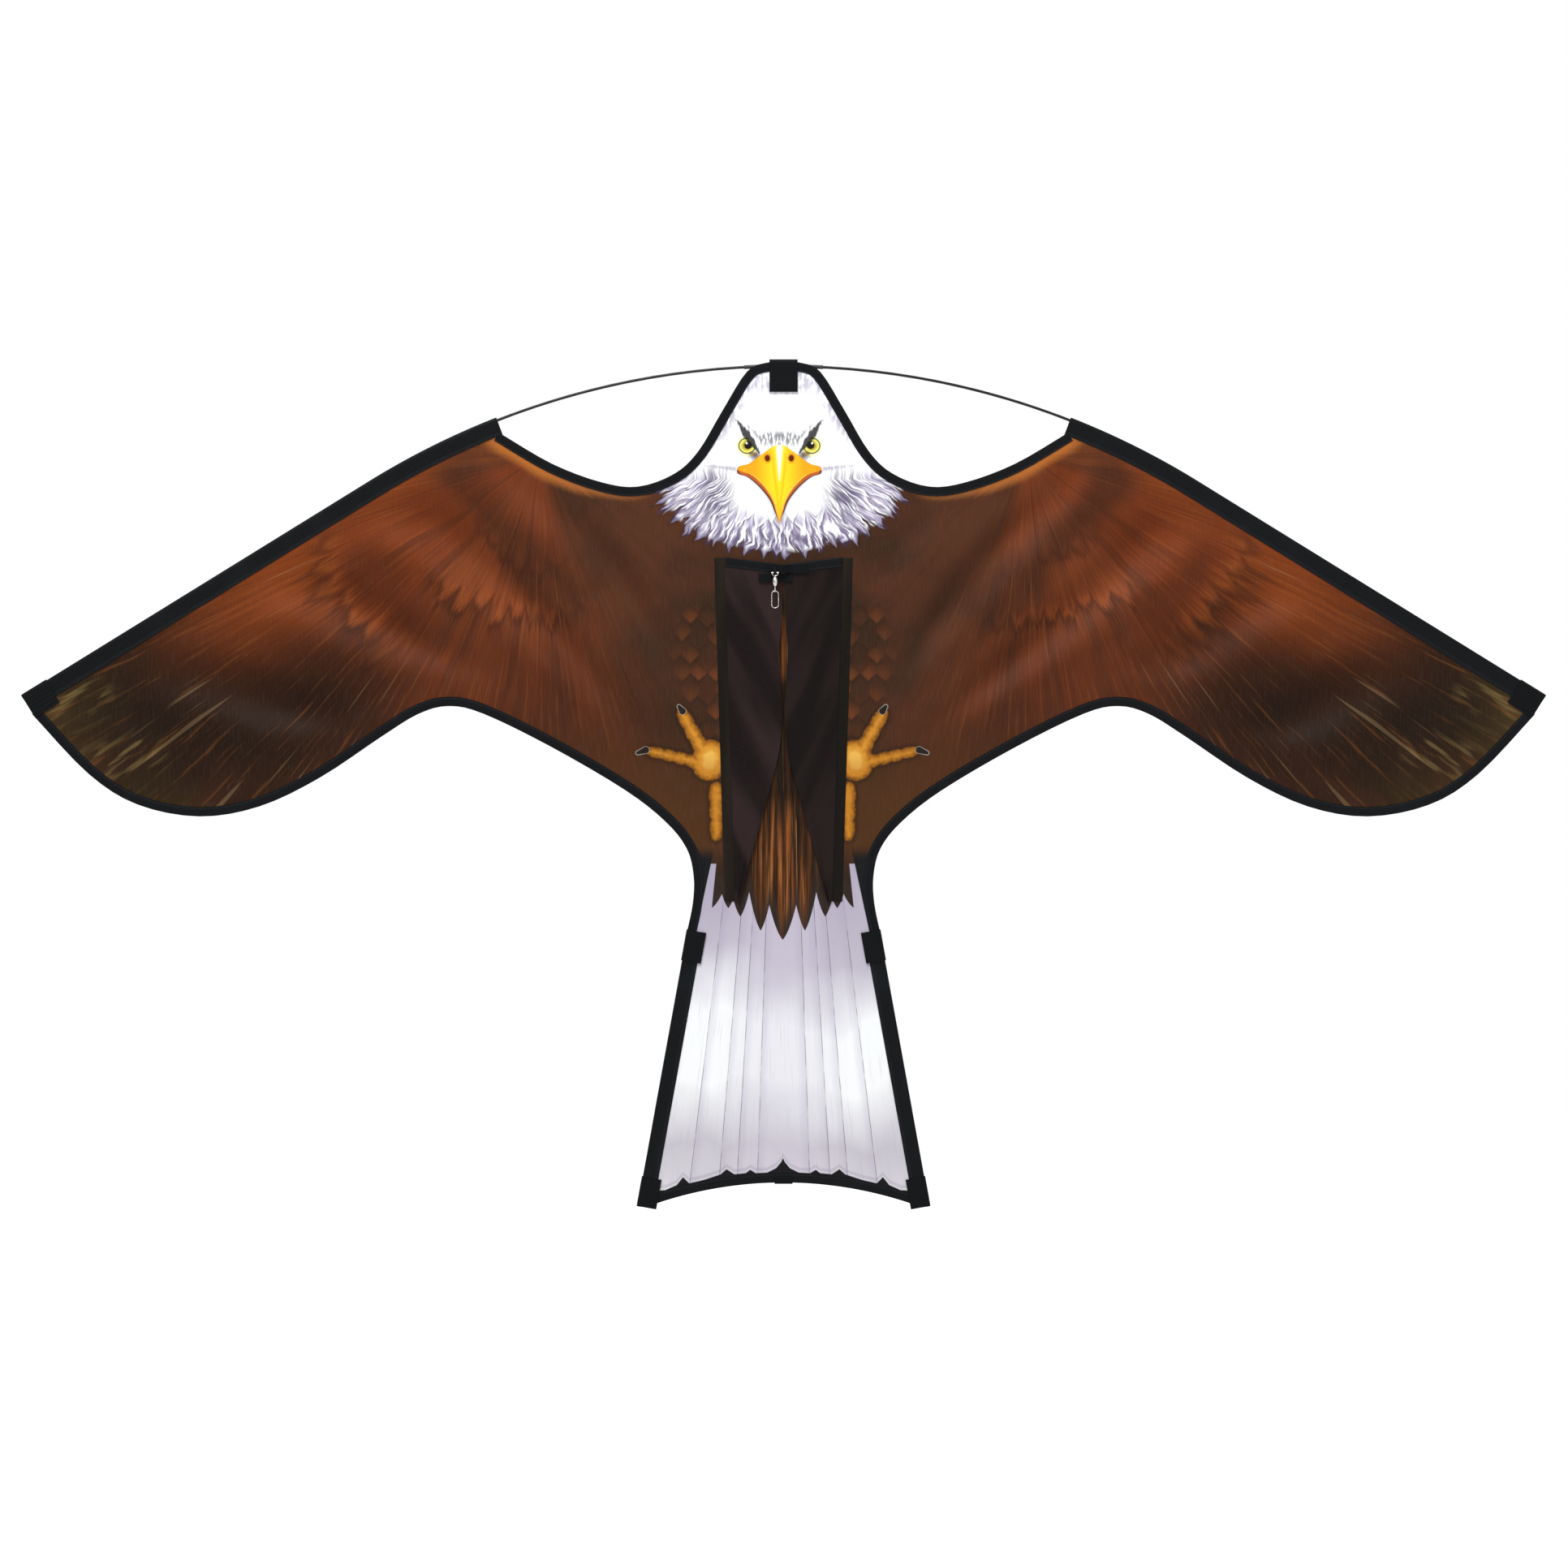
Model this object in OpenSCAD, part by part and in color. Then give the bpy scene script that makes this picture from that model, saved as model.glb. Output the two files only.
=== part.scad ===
// Eagle-shaped bird scarer kite: printed sail on bent rods, with a hanging keel and a tow snap.
// Millimetres. +X runs along the wings, +Z up to the head, and the printed face looks along -Y.
// The origin is the bend of the tow snap that takes the flying line.

/* [Sail] */
// Wing span from tip to tip
span = 1350; // [1250:1:1450]
// Drop from the top of the spar to the lower corners of the tail
tail_foot_drop = 744; // [720:1:770]
// Height of the middle of the tail's foot above the lower corners
foot_hollow = 21; // [17:0.5:24]
// Drop from the top of the spar to the top of the tail sleeves
tail_top_drop = 498.6; // [485:0.1:510]
// Half width of the tail at the top of its sleeves
tail_top_half = 85; // [75:1:95]
// Half width of the tail at its lower corners
tail_foot_half = 129.5; // [120:0.5:140]
// Depth of the neck hollows below the top of the spar
neck_drop = 106.8; // [95:0.1:115]
// Rise of the arched foot of the tail
foot_rise = 19.5; // [15:0.5:22]
// Width of the square end of each wing, from the rod's axis
wing_end_w = 20.5; // [19:0.5:24]
// Thickness of the sail cloth
sail_t = 0.3; // [0.2:0.05:0.4]

/* [Rods] */
// Diameter of the spars, spine and tail rods
rod_d = 2.5; // [2:0.1:3]
// Radius of the bowed middle of the spar
bow_r = 695; // [680:1:710]
// Angle from the middle at which the bow runs out straight
bow_angle = 31.7; // [31:0.1:33]
// Angle from the middle at which the wing sleeves begin
shoulder_angle = 21.4; // [20:0.1:22.5]
// Wall of the ferrule and of the rod end caps
cap_wall = 0.5; // [0.4:0.05:0.8]
// Length of a rod end cap
cap_len = 10; // [7:1:14]
// Length of the ferrule that joins the spars
ferrule_len = 70; // [50:1:90]

/* [Tape] */
// Thickness of the edge tape
tape_t = 0.4; // [0.3:0.05:0.5]
// Thickness of the webbing of the patches and tabs
webbing_t = 0.8; // [0.6:0.05:1]
// Width of the edge binding
binding_w = 8.3; // [7:0.1:9.5]
// Width of the wing sleeves
wing_sleeve_w = 16.5; // [15:0.1:18]
// Width of the tail sleeves
tail_sleeve_w = 14; // [13.5:0.1:16]
// Length of the wing tip patches
tip_patch_len = 26; // [20:1:32]
// Length of the tail tabs
tail_tab_len = 28; // [22:1:34]
// Length of the tail corner patches
corner_patch_len = 27; // [22:1:32]
// Reach of a patch past the inner edge of its sleeve
patch_reach = 3; // [2:0.5:5]
// Width of the head tab
head_tab_w = 25; // [20:1:30]
// Drop of the head tab below the top of the spar
head_tab_drop = 23; // [20:1:28]
// Width of the spine pockets
pocket_w = 16; // [14:1:20]
// Length of the spine pockets
pocket_len = 34; // [26:1:40]

/* [Keel] */
// Drop from the top of the spar to the upper ends of the keel seams
keel_top_drop = 170; // [160:1:180]
// Length of the keel seams, measured down the sail
keel_len = 304; // [280:1:320]
// Half width between the keel seams at the top
keel_top_half = 52.4; // [48:0.1:56]
// Half width between the keel seams at the bottom
keel_foot_half = 43; // [40:0.5:46]
// Width of the sewn hem strips
hem_w = 9; // [7:0.5:11]
// Thickness of the flap cloth
flap_t = 0.5; // [0.4:0.05:0.6]
// Sag of the flaps' top edges towards the middle
keel_sag = 6; // [4:0.5:8]
// Depth of the folds in the hanging flaps
fold_depth = 3; // [1:0.25:3.5]
// Width of the tow tabs
tow_tab_w = 7; // [6:0.5:8]

/* [Tow hardware] */
// Distance of the swivel from the middle line, to the left
tow_side = 7.5; // [6:0.5:8.5]
// Distance of the swivel's axis in front of the sail
tow_stand_off = 9; // [8.5:0.5:12]
// Drop from the top of the spar to the swivel's top bar
tow_bar_drop = 183.5; // [181:0.5:186]
// Wire diameter of the swivel's eyes
eye_wire_d = 1.2; // [1:0.1:1.4]
// Wire diameter of the snap
snap_wire_d = 0.9; // [0.7:0.1:1.1]
// Diameter of the swivel barrel
barrel_d = 5; // [4.5:0.1:5.5]
// Length of the swivel barrel
barrel_len = 8.5; // [7:0.5:10]
// Width of the snap between the middles of its wires
snap_w = 6; // [5.6:0.1:6.6]
// Length of the snap's straight sides
snap_side = 9; // [7:0.5:11]

/* [Hidden] */
$fn = 48;

// Clearance between layers of cloth and tape
cloth_fit = 0.05;
// Clearance of a rod in its cap or ferrule
rod_fit = 0.03;
// Clearance between pieces that meet edge to edge
edge_gap = 0.3;
// Room left round a rod end in its tunnel or pocket
tunnel_room = 0.15;
// Overrun of a cut past the face that it opens
overrun = 2;
// Steps of a drawn curve between two of its points
curve_steps = 4;
// Steps of the round edge of a sleeve
round_steps = 8;

half_span = span / 2;
foot_mid_drop = tail_foot_drop - foot_hollow;
rod_r = rod_d / 2;
cap_r = rod_r + rod_fit + cap_wall;
slot_half = sail_t / 2 + cloth_fit;
leaf_face = slot_half + tape_t;
webbing_face = leaf_face + cloth_fit;
rod_y = webbing_face + cloth_fit + cap_r;

// Tunnel of a sleeve: u runs from the rod's axis into the sail, y from front to back
tunnel_back = rod_y + cap_r + tunnel_room;
tunnel_r = (tunnel_back + slot_half) / 2;
tunnel_y = (tunnel_back - slot_half) / 2;
tunnel_flat = cap_r + tunnel_room;
seam_u = tunnel_flat + tunnel_back;
sail_edge_u = rod_d;
sleeve_r = tunnel_r + tape_t;
wing_edge_u = wing_sleeve_w - sleeve_r;
tail_edge_u = tail_sleeve_w - sleeve_r;
patch_grow = tape_t + cloth_fit;

// Spar: a bow and two straight ends
bow_end = [bow_r * sin(bow_angle), bow_r * cos(bow_angle) - bow_r];
wing_len = (half_span - bow_end.x - sleeve_r * sin(bow_angle)) / cos(bow_angle);
wing_rod_end = wing_len - webbing_t - edge_gap - cap_wall;

// Tail sleeves: straight, leaning out towards the foot
tail_lean = atan2(tail_foot_half - tail_top_half, tail_foot_drop - tail_top_drop);
tail_len = norm([tail_foot_half - tail_top_half, tail_foot_drop - tail_top_drop]);
tail_start = [tail_top_half - sleeve_r * cos(tail_lean), -tail_top_drop - sleeve_r * sin(tail_lean)];

// Foot of the tail: an arc through the middle and the two corners
foot_half = tail_foot_half - tail_sleeve_w;
foot_r = (foot_half * foot_half + foot_rise * foot_rise) / (2 * foot_rise);
foot_mean_drop = foot_mid_drop + foot_rise / 2;
foot_seam_x = tail_top_half + (foot_mean_drop - tail_top_drop) * tan(tail_lean)
    - tail_sleeve_w / cos(tail_lean);
foot_angle = asin((foot_seam_x - edge_gap) / (foot_r + binding_w));

// Spine: from the pocket under the head tab to the pocket at the foot
spine_top = -head_tab_drop - edge_gap - webbing_t - edge_gap;
spine_foot = -foot_mid_drop + tunnel_room;

// Keel: seams, flap plane and swing axis
flap_y = -(leaf_face + edge_gap + flap_t / 2);
flap_face = -flap_y + flap_t / 2;
binding_face = flap_face + cloth_fit + tape_t;
tab_y = -(binding_face + edge_gap + webbing_t / 2);
keel_gap = 1.2;
keel_foot_w = 4;
keel_flat_share = 0.07;
fold_rows = 30;
fold_columns = 10;
// Shares of the fold depth: the mean swell, the diagonal crease and the ripple across it
swell_share = 0.5;
crease_share = 0.3;
ripple_share = 0.2;
// Turns of the crease and the ripple down the flap and across it
crease_turns = [1.4, 0.8];
ripple_turns = [-1.1, 2.1];

// Tow hardware: drops down the swivel's own axis from its top bar
bar_r = eye_wire_d / 2;
bail_share = 0.75;
bail_r = bar_r * bail_share;
bar_w = 4.4;
eye_half = bar_w / 2 + bail_r;
eye_drop = bar_w / 2 + 2 * bail_r + edge_gap;
neck_len = 1.2;
lower_eye_r = 2;
snap_r = snap_w / 2;
barrel_top = eye_drop;
barrel_foot = barrel_top + barrel_len;
lower_eye_drop = barrel_foot + neck_len + lower_eye_r;
snap_wire_r = snap_wire_d / 2;
snap_top_drop = lower_eye_drop + lower_eye_r - bar_r - snap_wire_r - rod_fit;
snap_head_drop = snap_top_drop + snap_r;
snap_foot_drop = snap_head_drop + snap_side;
line_drop = snap_foot_drop + snap_r - snap_wire_r;
barrel_bore_r = bar_r + rod_fit;
tow_drop = tow_bar_drop + line_drop;

// Shares of the shoulder's half width and of the neck's depth, from shoulder to crown
neck_shares = [
    [0.824, 0.811], [0.651, 0.962], [0.52, 1], [0.391, 0.895], [0.305, 0.71], [0.218, 0.37],
    [0.131, 0.047], [0.06, -0.028], [0, -0.034]
];
// Shares of the half span and of the drop to the tail's sleeves, from wing tip to tail
trailing_shares = [
    [0.911, 0.725], [0.847, 0.779], [0.766, 0.8], [0.687, 0.782], [0.608, 0.731], [0.527, 0.658],
    [0.479, 0.618], [0.439, 0.604], [0.393, 0.618], [0.304, 0.677], [0.208, 0.753], [0.155, 0.809],
    [0.127, 0.857], [0.118, 0.906], [0.119, 0.953]
];
// Shares of the half width and of the length of a keel flap, down its free edge
free_edge_shares = [
    [1, 0], [1, 0.1], [0.99, 0.16], [0.93, 0.24], [0.94, 0.32], [0.99, 0.39], [1, 0.47], [0.92, 0.56],
    [0.7, 0.67], [0.42, 0.8], [0.2, 0.9], [0, 1]
];

// Curve through a list of points
function blend_point(a, b, c, d, t) = b + t / 2 * (c - a
    + t * (2 * a - 5 * b + 4 * c - d + t * (3 * (b - c) + d - a)));
function curve(p) = concat(
    [for (i = [0:len(p) - 2]) for (k = [0:curve_steps - 1])
        blend_point(p[max(i - 1, 0)], p[i], p[i + 1], p[min(i + 2, len(p) - 1)], k / curve_steps)],
    [p[len(p) - 1]]);
function unit(v) = v / norm(v);
function heading(p, i) = unit(p[min(i + 1, len(p) - 1)] - p[max(i - 1, 0)]);
// The same curve moved sideways, to the left of its direction
function beside(p, d) = [for (i = [0:len(p) - 1]) p[i] + d * [-heading(p, i).y, heading(p, i).x]];
function lengthened(p, d) = concat(
    [p[0] - d * heading(p, 0)], p, [p[len(p) - 1] + d * heading(p, len(p) - 1)]);
function reversed(p) = [for (i = [len(p) - 1:-1:0]) p[i]];
function mirrored(p) = [for (q = p) [-q.x, q.y]];
function ribbon(p, t) = concat(beside(p, t / 2), reversed(beside(p, -t / 2)));

// Places on the sail: by angle along the bow, and by length along a wing or tail rod
function on_bow(a, u) = [(bow_r - u) * sin(a), (bow_r - u) * cos(a) - bow_r];
function on_wing(s, u) = on_bow(bow_angle, u) + s * [cos(bow_angle), -sin(bow_angle)];
function on_tail(s, u) = tail_start + s * [sin(tail_lean), -cos(tail_lean)]
    - u * [cos(tail_lean), sin(tail_lean)];
function on_foot(a, r) = [r * sin(a), r * cos(a) - foot_r - foot_mid_drop];

// Edges of the sail as they show, right half
shoulder = on_bow(shoulder_angle, wing_edge_u + edge_gap);
half_neck = concat([shoulder], [for (q = neck_shares) [q.x * shoulder.x, -q.y * neck_drop]]);
neck_points = concat(half_neck, reversed(mirrored([for (i = [0:len(half_neck) - 2]) half_neck[i]])));
neck_edge = curve(neck_points);
trailing_edge = curve(concat(
    [on_wing(wing_len - tape_t, wing_end_w)],
    [for (q = trailing_shares) [q.x * half_span, -q.y * tail_top_drop]],
    [on_tail(-edge_gap, -sleeve_r)]));

// Outline of the cut sail, inside its bindings and sleeves
fold_in = tape_t + cloth_fit;
bow_steps = 6;
foot_steps = 24;
sail_neck = beside(neck_edge, fold_in);
sail_half = concat(
    [for (i = [(len(sail_neck) - 1) / 2:-1:0]) sail_neck[i]],
    [on_bow(shoulder_angle, wing_edge_u), on_bow(shoulder_angle, sail_edge_u)],
    [for (k = [1:bow_steps]) on_bow(shoulder_angle + (bow_angle - shoulder_angle) * k / bow_steps,
        sail_edge_u)],
    [on_wing(wing_len - webbing_t - edge_gap, sail_edge_u)],
    beside(trailing_edge, -fold_in),
    [on_tail(-edge_gap, sail_edge_u), on_tail(tail_len - webbing_t - edge_gap, sail_edge_u),
        on_tail(tail_len - webbing_t - edge_gap, tail_edge_u)],
    [for (k = [foot_steps:-1:0]) on_foot(foot_angle * k / foot_steps, foot_r + fold_in)]);
sail_left = [for (i = [len(sail_half) - 2:-1:1]) [-sail_half[i].x, sail_half[i].y]];
sail_outline = concat(sail_half, sail_left);

// Section of a sleeve or of the webbing over it, grown outwards by g and ending at u_end
function tunnel_side(g, u_end) = concat(
    [[u_end, -slot_half - g], [0, -slot_half - g]],
    [for (k = [1:round_steps - 1]) let (a = 180 * k / round_steps)
        [-(tunnel_r + g) * sin(a), tunnel_y - (tunnel_r + g) * cos(a)]],
    [[0, tunnel_back + g]],
    [for (k = [0:round_steps]) let (share = k / round_steps, ease = (1 + cos(180 * share)) / 2)
        [tunnel_flat + g * share + (seam_u - tunnel_flat) * share,
            slot_half + g + (tunnel_back - slot_half) * ease]],
    [[u_end, slot_half + g]]);
function tunnel_section(g_in, g_out, u_end) = [for (q = concat(tunnel_side(g_out, u_end),
    reversed(tunnel_side(g_in, u_end)))) [-q.x, -q.y]];
// Round end wall of a tunnel, over the rod only
function tunnel_wall(g) = [for (q = concat([[tunnel_flat, -slot_half - g]],
    [for (k = [0:round_steps]) let (a = 180 * k / round_steps)
        [-(tunnel_r + g) * sin(a), tunnel_y - (tunnel_r + g) * cos(a)]],
    [[tunnel_flat, tunnel_back + g]])) [-q.x, -q.y]];

// Frames: the whole kite, its plane with depth to the back, and the lines of the rods
module kite() translate([tow_side, tow_stand_off, tow_drop]) children();
module plane() rotate([90, 0, 0]) children();
module hand(side) mirror([side < 0 ? 1 : 0, 0, 0]) children();
module bow_place() plane() translate([0, -bow_r, 0]) children();
module wing_line() plane() translate([bow_end.x, bow_end.y, 0]) rotate([0, 0, 90 - bow_angle])
    rotate([90, 0, 0]) children();
module tail_line() plane() translate([tail_start.x, tail_start.y, 0]) rotate([0, 0, tail_lean])
    rotate([90, 0, 0]) children();
// A flat layer between two depths, front first
module layer(front, back) translate([0, back, 0]) plane() linear_extrude(back - front) children();

// Tape folded over an edge: two leaves and a fold, open towards the sail
module folded_tape(edge, width, into) difference() {
    layer(-leaf_face, leaf_face) polygon(concat(edge, reversed(beside(edge, into * width))));
    layer(-slot_half, slot_half) polygon(concat(
        lengthened(beside(edge, into * tape_t), overrun),
        reversed(lengthened(beside(edge, into * (width + overrun)), overrun))));
}

// A section swept round the bow between two angles, outer end at the larger one
module bow_sweep(from, to) bow_place() rotate([0, 0, 90 - to]) rotate_extrude(angle = to - from, $fn = 180)
    translate([bow_r, 0]) children();

// Webbing wrapped over a stretch of sleeve, with the wall that stops the rod at its far end
module end_patch(start, length, width) {
    translate([0, 0, start]) linear_extrude(length)
        polygon(tunnel_section(patch_grow, patch_grow + webbing_t, width));
}
module end_wall(start) translate([0, 0, start]) linear_extrude(webbing_t)
    polygon(tunnel_wall(patch_grow + webbing_t));

// A rod end cap, closed end up, its mouth at the base
module end_cap() difference() {
    cylinder(r = cap_r, h = cap_len);
    translate([0, 0, -overrun]) cylinder(r = rod_r + rod_fit, h = cap_len - cap_wall + overrun);
}

module sail() color("saddlebrown") kite() layer(-sail_t / 2, sail_t / 2) polygon(sail_outline);
module head_binding() color("black") kite() folded_tape(neck_edge, binding_w, 1);
module wing_binding(side) color("black") kite() hand(side) folded_tape(trailing_edge, binding_w, -1);
module tail_binding() color("black") kite() plane() translate([0, -foot_r - foot_mid_drop, 0])
    rotate([0, 0, 90 - foot_angle]) rotate_extrude(angle = 2 * foot_angle, $fn = 180)
        difference() {
            translate([foot_r, -leaf_face]) square([binding_w, 2 * leaf_face]);
            translate([foot_r + tape_t, -slot_half]) square([binding_w, 2 * slot_half]);
        }

module wing_sleeve(side) color("black") kite() hand(side) {
    bow_sweep(shoulder_angle, bow_angle) polygon(tunnel_section(0, tape_t, wing_edge_u));
    wing_line() linear_extrude(wing_len - webbing_t - cloth_fit)
        polygon(tunnel_section(0, tape_t, wing_edge_u));
}
module tail_sleeve(side) color("black") kite() hand(side) tail_line()
    translate([0, 0, webbing_t + cloth_fit])
        linear_extrude(tail_len - 2 * (webbing_t + cloth_fit))
            polygon(tunnel_section(0, tape_t, tail_edge_u));

module wing_tip_patch(side) color("black") kite() hand(side) wing_line() {
    end_patch(wing_len - tip_patch_len, tip_patch_len, wing_end_w);
    end_wall(wing_len - webbing_t);
}
module tail_tab(side) color("black") kite() hand(side) tail_line() {
    end_patch(0, tail_tab_len, tail_edge_u + patch_reach);
    end_wall(0);
}
module tail_corner_patch(side) color("black") kite() hand(side) tail_line() {
    end_patch(tail_len - corner_patch_len, corner_patch_len, tail_edge_u + patch_reach);
    end_wall(tail_len - webbing_t);
}

// Head tab: down the front, over the crown and the ferrule, and back to the sail
crown_top = -neck_shares[len(neck_shares) - 1].y * neck_drop;
tab_front_y = -(webbing_face + webbing_t / 2);
tab_back_y = rod_y + cap_r + edge_gap + webbing_t / 2;
tab_seam_y = webbing_face + webbing_t / 2;
tab_fall = cap_r + edge_gap;
tab_top = max(crown_top, cap_r) + tab_fall;
head_tab_path = concat(
    [[tab_front_y, -head_tab_drop]],
    [for (k = [0:round_steps]) let (a = 180 * k / round_steps)
        [(tab_front_y + tab_back_y) / 2 - (tab_back_y - tab_front_y) / 2 * cos(a),
            tab_top - tab_fall * (1 - sin(a))]],
    [[tab_back_y, -tab_fall]],
    [for (k = [1:round_steps]) let (share = k / round_steps)
        [tab_seam_y + (tab_back_y - tab_seam_y) * (1 + cos(180 * share)) / 2,
            -tab_fall - (head_tab_drop / 2 - tab_fall) * share]],
    [[tab_seam_y, -head_tab_drop]]);
module head_tab() color("black") kite() translate([-head_tab_w / 2, 0, 0]) rotate([90, 0, 90])
    linear_extrude(head_tab_w) polygon(ribbon(head_tab_path, webbing_t));

// Spine pocket: a channel of webbing over the rod's end, seen from above
pocket_r = cap_r + tunnel_room + webbing_t / 2;
pocket_path = concat(
    [[-pocket_w / 2, tab_seam_y]],
    [for (k = [0:round_steps]) let (a = 180 * k / round_steps)
        [-pocket_r * cos(a), max(tab_seam_y, rod_y) + pocket_r * sin(a)]],
    [[pocket_w / 2, tab_seam_y]]);
pocket_channel = ribbon(pocket_path, webbing_t);
module pocket_end() translate([-pocket_r, tab_seam_y - webbing_t / 2, 0])
    cube([2 * pocket_r, rod_y + pocket_r - tab_seam_y + webbing_t, webbing_t]);
module spine_head_pocket() color("black") kite() {
    translate([0, 0, -head_tab_drop - edge_gap - pocket_len]) linear_extrude(pocket_len)
        polygon(pocket_channel);
    translate([0, 0, -head_tab_drop - edge_gap - webbing_t]) pocket_end();
}
module spine_tail_pocket() color("black") kite() translate([0, 0, -foot_mid_drop]) {
    linear_extrude(pocket_len) polygon(pocket_channel);
    translate([-pocket_w / 2, -webbing_face - webbing_t, -edge_gap - webbing_t])
        cube([pocket_w, webbing_face + rod_y + pocket_r + 2 * webbing_t, webbing_t]);
    translate([-pocket_w / 2, -webbing_face - webbing_t, -edge_gap - webbing_t])
        cube([pocket_w, webbing_t, binding_w]);
    translate([0, 0, -edge_gap]) linear_extrude(edge_gap) polygon(pocket_channel);
}

// A bent rod is drawn with flat sides, so that its bow and its straight end join in one face each
rod_sides = 24;
rod_section = [for (k = [1:rod_sides]) rod_r * [cos(360 * k / rod_sides), sin(360 * k / rod_sides)]];
module spar(side) color("dimgray") kite() hand(side) {
    bow_sweep(atan2(edge_gap, bow_r), bow_angle) translate([0, -rod_y]) polygon(rod_section);
    wing_line() translate([0, -rod_y, 0]) linear_extrude(wing_rod_end) polygon(rod_section);
}
module spar_ferrule() color("silver") kite()
    bow_sweep(-ferrule_len / bow_r * 90 / PI, ferrule_len / bow_r * 90 / PI) translate([0, -rod_y])
        difference() {
            circle(r = cap_r);
            circle(r = rod_r + rod_fit);
        }
module spine() color("dimgray") kite() translate([0, rod_y, spine_foot + cap_wall])
    cylinder(r = rod_r, h = spine_top - spine_foot - 2 * cap_wall);
tail_rod_start = webbing_t + edge_gap + cap_wall;
module tail_rod(side) color("dimgray") kite() hand(side) tail_line()
    translate([0, -rod_y, tail_rod_start]) cylinder(r = rod_r, h = tail_len - 2 * tail_rod_start);

module spar_end_caps() color("black") kite() for (side = [-1, 1]) hand(side) wing_line()
    translate([0, -rod_y, wing_rod_end + cap_wall - cap_len]) end_cap();
module tail_rod_end_caps() color("black") kite() for (side = [-1, 1]) hand(side) tail_line()
    translate([0, -rod_y, 0]) {
        translate([0, 0, tail_len - tail_rod_start + cap_wall - cap_len]) end_cap();
        translate([0, 0, tail_rod_start - cap_wall + cap_len]) mirror([0, 0, 1]) end_cap();
    }
module spine_end_caps() color("black") kite() translate([0, rod_y, 0]) {
    translate([0, 0, spine_top - cap_len]) end_cap();
    translate([0, 0, spine_foot + cap_len]) mirror([0, 0, 1]) end_cap();
}

// Keel hems: flat strips sewn down outside the seams
keel_foot_drop = keel_top_drop + keel_len;
module keel_hem(side) color("black") kite() hand(side) layer(-leaf_face, -slot_half) polygon([
    [keel_top_half, -keel_top_drop], [keel_top_half + hem_w, -keel_top_drop],
    [keel_foot_half + hem_w, -keel_foot_drop], [keel_foot_half, -keel_foot_drop]
]);

// Keel flaps: cloth hung from the seam, with soft folds that fade out at the seam and the top tape
function seam_point(v) = [keel_top_half + (keel_foot_half - keel_top_half) * v,
    -keel_top_drop - keel_len * v];
free_edge = curve([for (q = free_edge_shares) [
    keel_foot_half - keel_foot_w + (keel_gap - keel_foot_half + keel_foot_w) * q.x,
    -keel_top_drop - keel_sag + (keel_sag - keel_len) * q.y]]);
function free_point(v) = let (n = v * (len(free_edge) - 1), i = min(floor(n), len(free_edge) - 2))
    free_edge[i] + (n - i) * (free_edge[i + 1] - free_edge[i]);
function fade(t) = t <= 0 ? 0 : t >= 1 ? 1 : t * t * (3 - 2 * t);
// Depth of the folds: one long diagonal crease and two softer ripples beside it
function fold(v, w, turn) = fold_depth * fade((v - keel_flat_share) / (2 * keel_flat_share)) * fade(w)
    * (swell_share - crease_share * cos(360 * (crease_turns.x * v + turn * crease_turns.y * w))
        - ripple_share * cos(360 * (ripple_turns.x * v + ripple_turns.y * w + turn / 4)));
function flap_point(v, w, turn, back) = let (q = seam_point(v) + w * (free_point(v) - seam_point(v)))
    [q.x, flap_y - fold(v, w, turn) + (back ? 1 : -1) * flap_t / 2, q.y];
module flap_cloth(turn) {
    columns = fold_columns + 1;
    layer_count = (fold_rows + 1) * columns;
    points = [for (back = [false, true]) for (i = [0:fold_rows]) for (j = [0:fold_columns])
        flap_point(i / fold_rows, j / fold_columns, turn, back)];
    rim = concat(
        [for (j = [0:fold_columns - 1]) j],
        [for (i = [0:fold_rows - 1]) i * columns + fold_columns],
        [for (j = [fold_columns:-1:1]) fold_rows * columns + j],
        [for (i = [fold_rows:-1:1]) i * columns]);
    faces = concat(
        [for (i = [0:fold_rows - 1]) for (j = [0:fold_columns - 1]) for (half = [0, 1])
            let (a = i * columns + j)
            half == 0 ? [a, a + 1, a + columns] : [a + 1, a + columns + 1, a + columns]],
        [for (i = [0:fold_rows - 1]) for (j = [0:fold_columns - 1]) for (half = [0, 1])
            let (a = layer_count + i * columns + j)
            half == 0 ? [a, a + columns, a + 1] : [a + 1, a + columns, a + columns + 1]],
        [for (k = [0:len(rim) - 1]) for (half = [0, 1])
            let (a = rim[k], b = rim[(k + 1) % len(rim)])
            half == 0 ? [a, a + layer_count, b] : [b, a + layer_count, b + layer_count]]);
    polyhedron(points, faces);
}
module keel_flap(side) color("#231a17") kite() hand(side) flap_cloth(side);

// Keel bindings: tape folded over the flaps' top edges
flap_slot = flap_t / 2 + cloth_fit;
keel_slope = keel_sag / keel_top_half + (keel_top_half - keel_foot_half) / keel_len;
flap_top = [[keel_top_half - edge_gap - binding_w * keel_slope, -keel_top_drop],
    [keel_gap, -keel_top_drop - keel_sag]];
keel_tape_edge = beside(flap_top, -fold_in);
module keel_binding(side) color("black") kite() hand(side) translate([0, flap_y, 0]) difference() {
    layer(-flap_slot - tape_t, flap_slot + tape_t) polygon(concat(keel_tape_edge,
        reversed(beside(keel_tape_edge, binding_w))));
    layer(-flap_slot, flap_slot) polygon(concat(
        lengthened(beside(keel_tape_edge, tape_t), overrun),
        reversed(lengthened(beside(keel_tape_edge, binding_w + overrun), overrun))));
}

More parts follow.
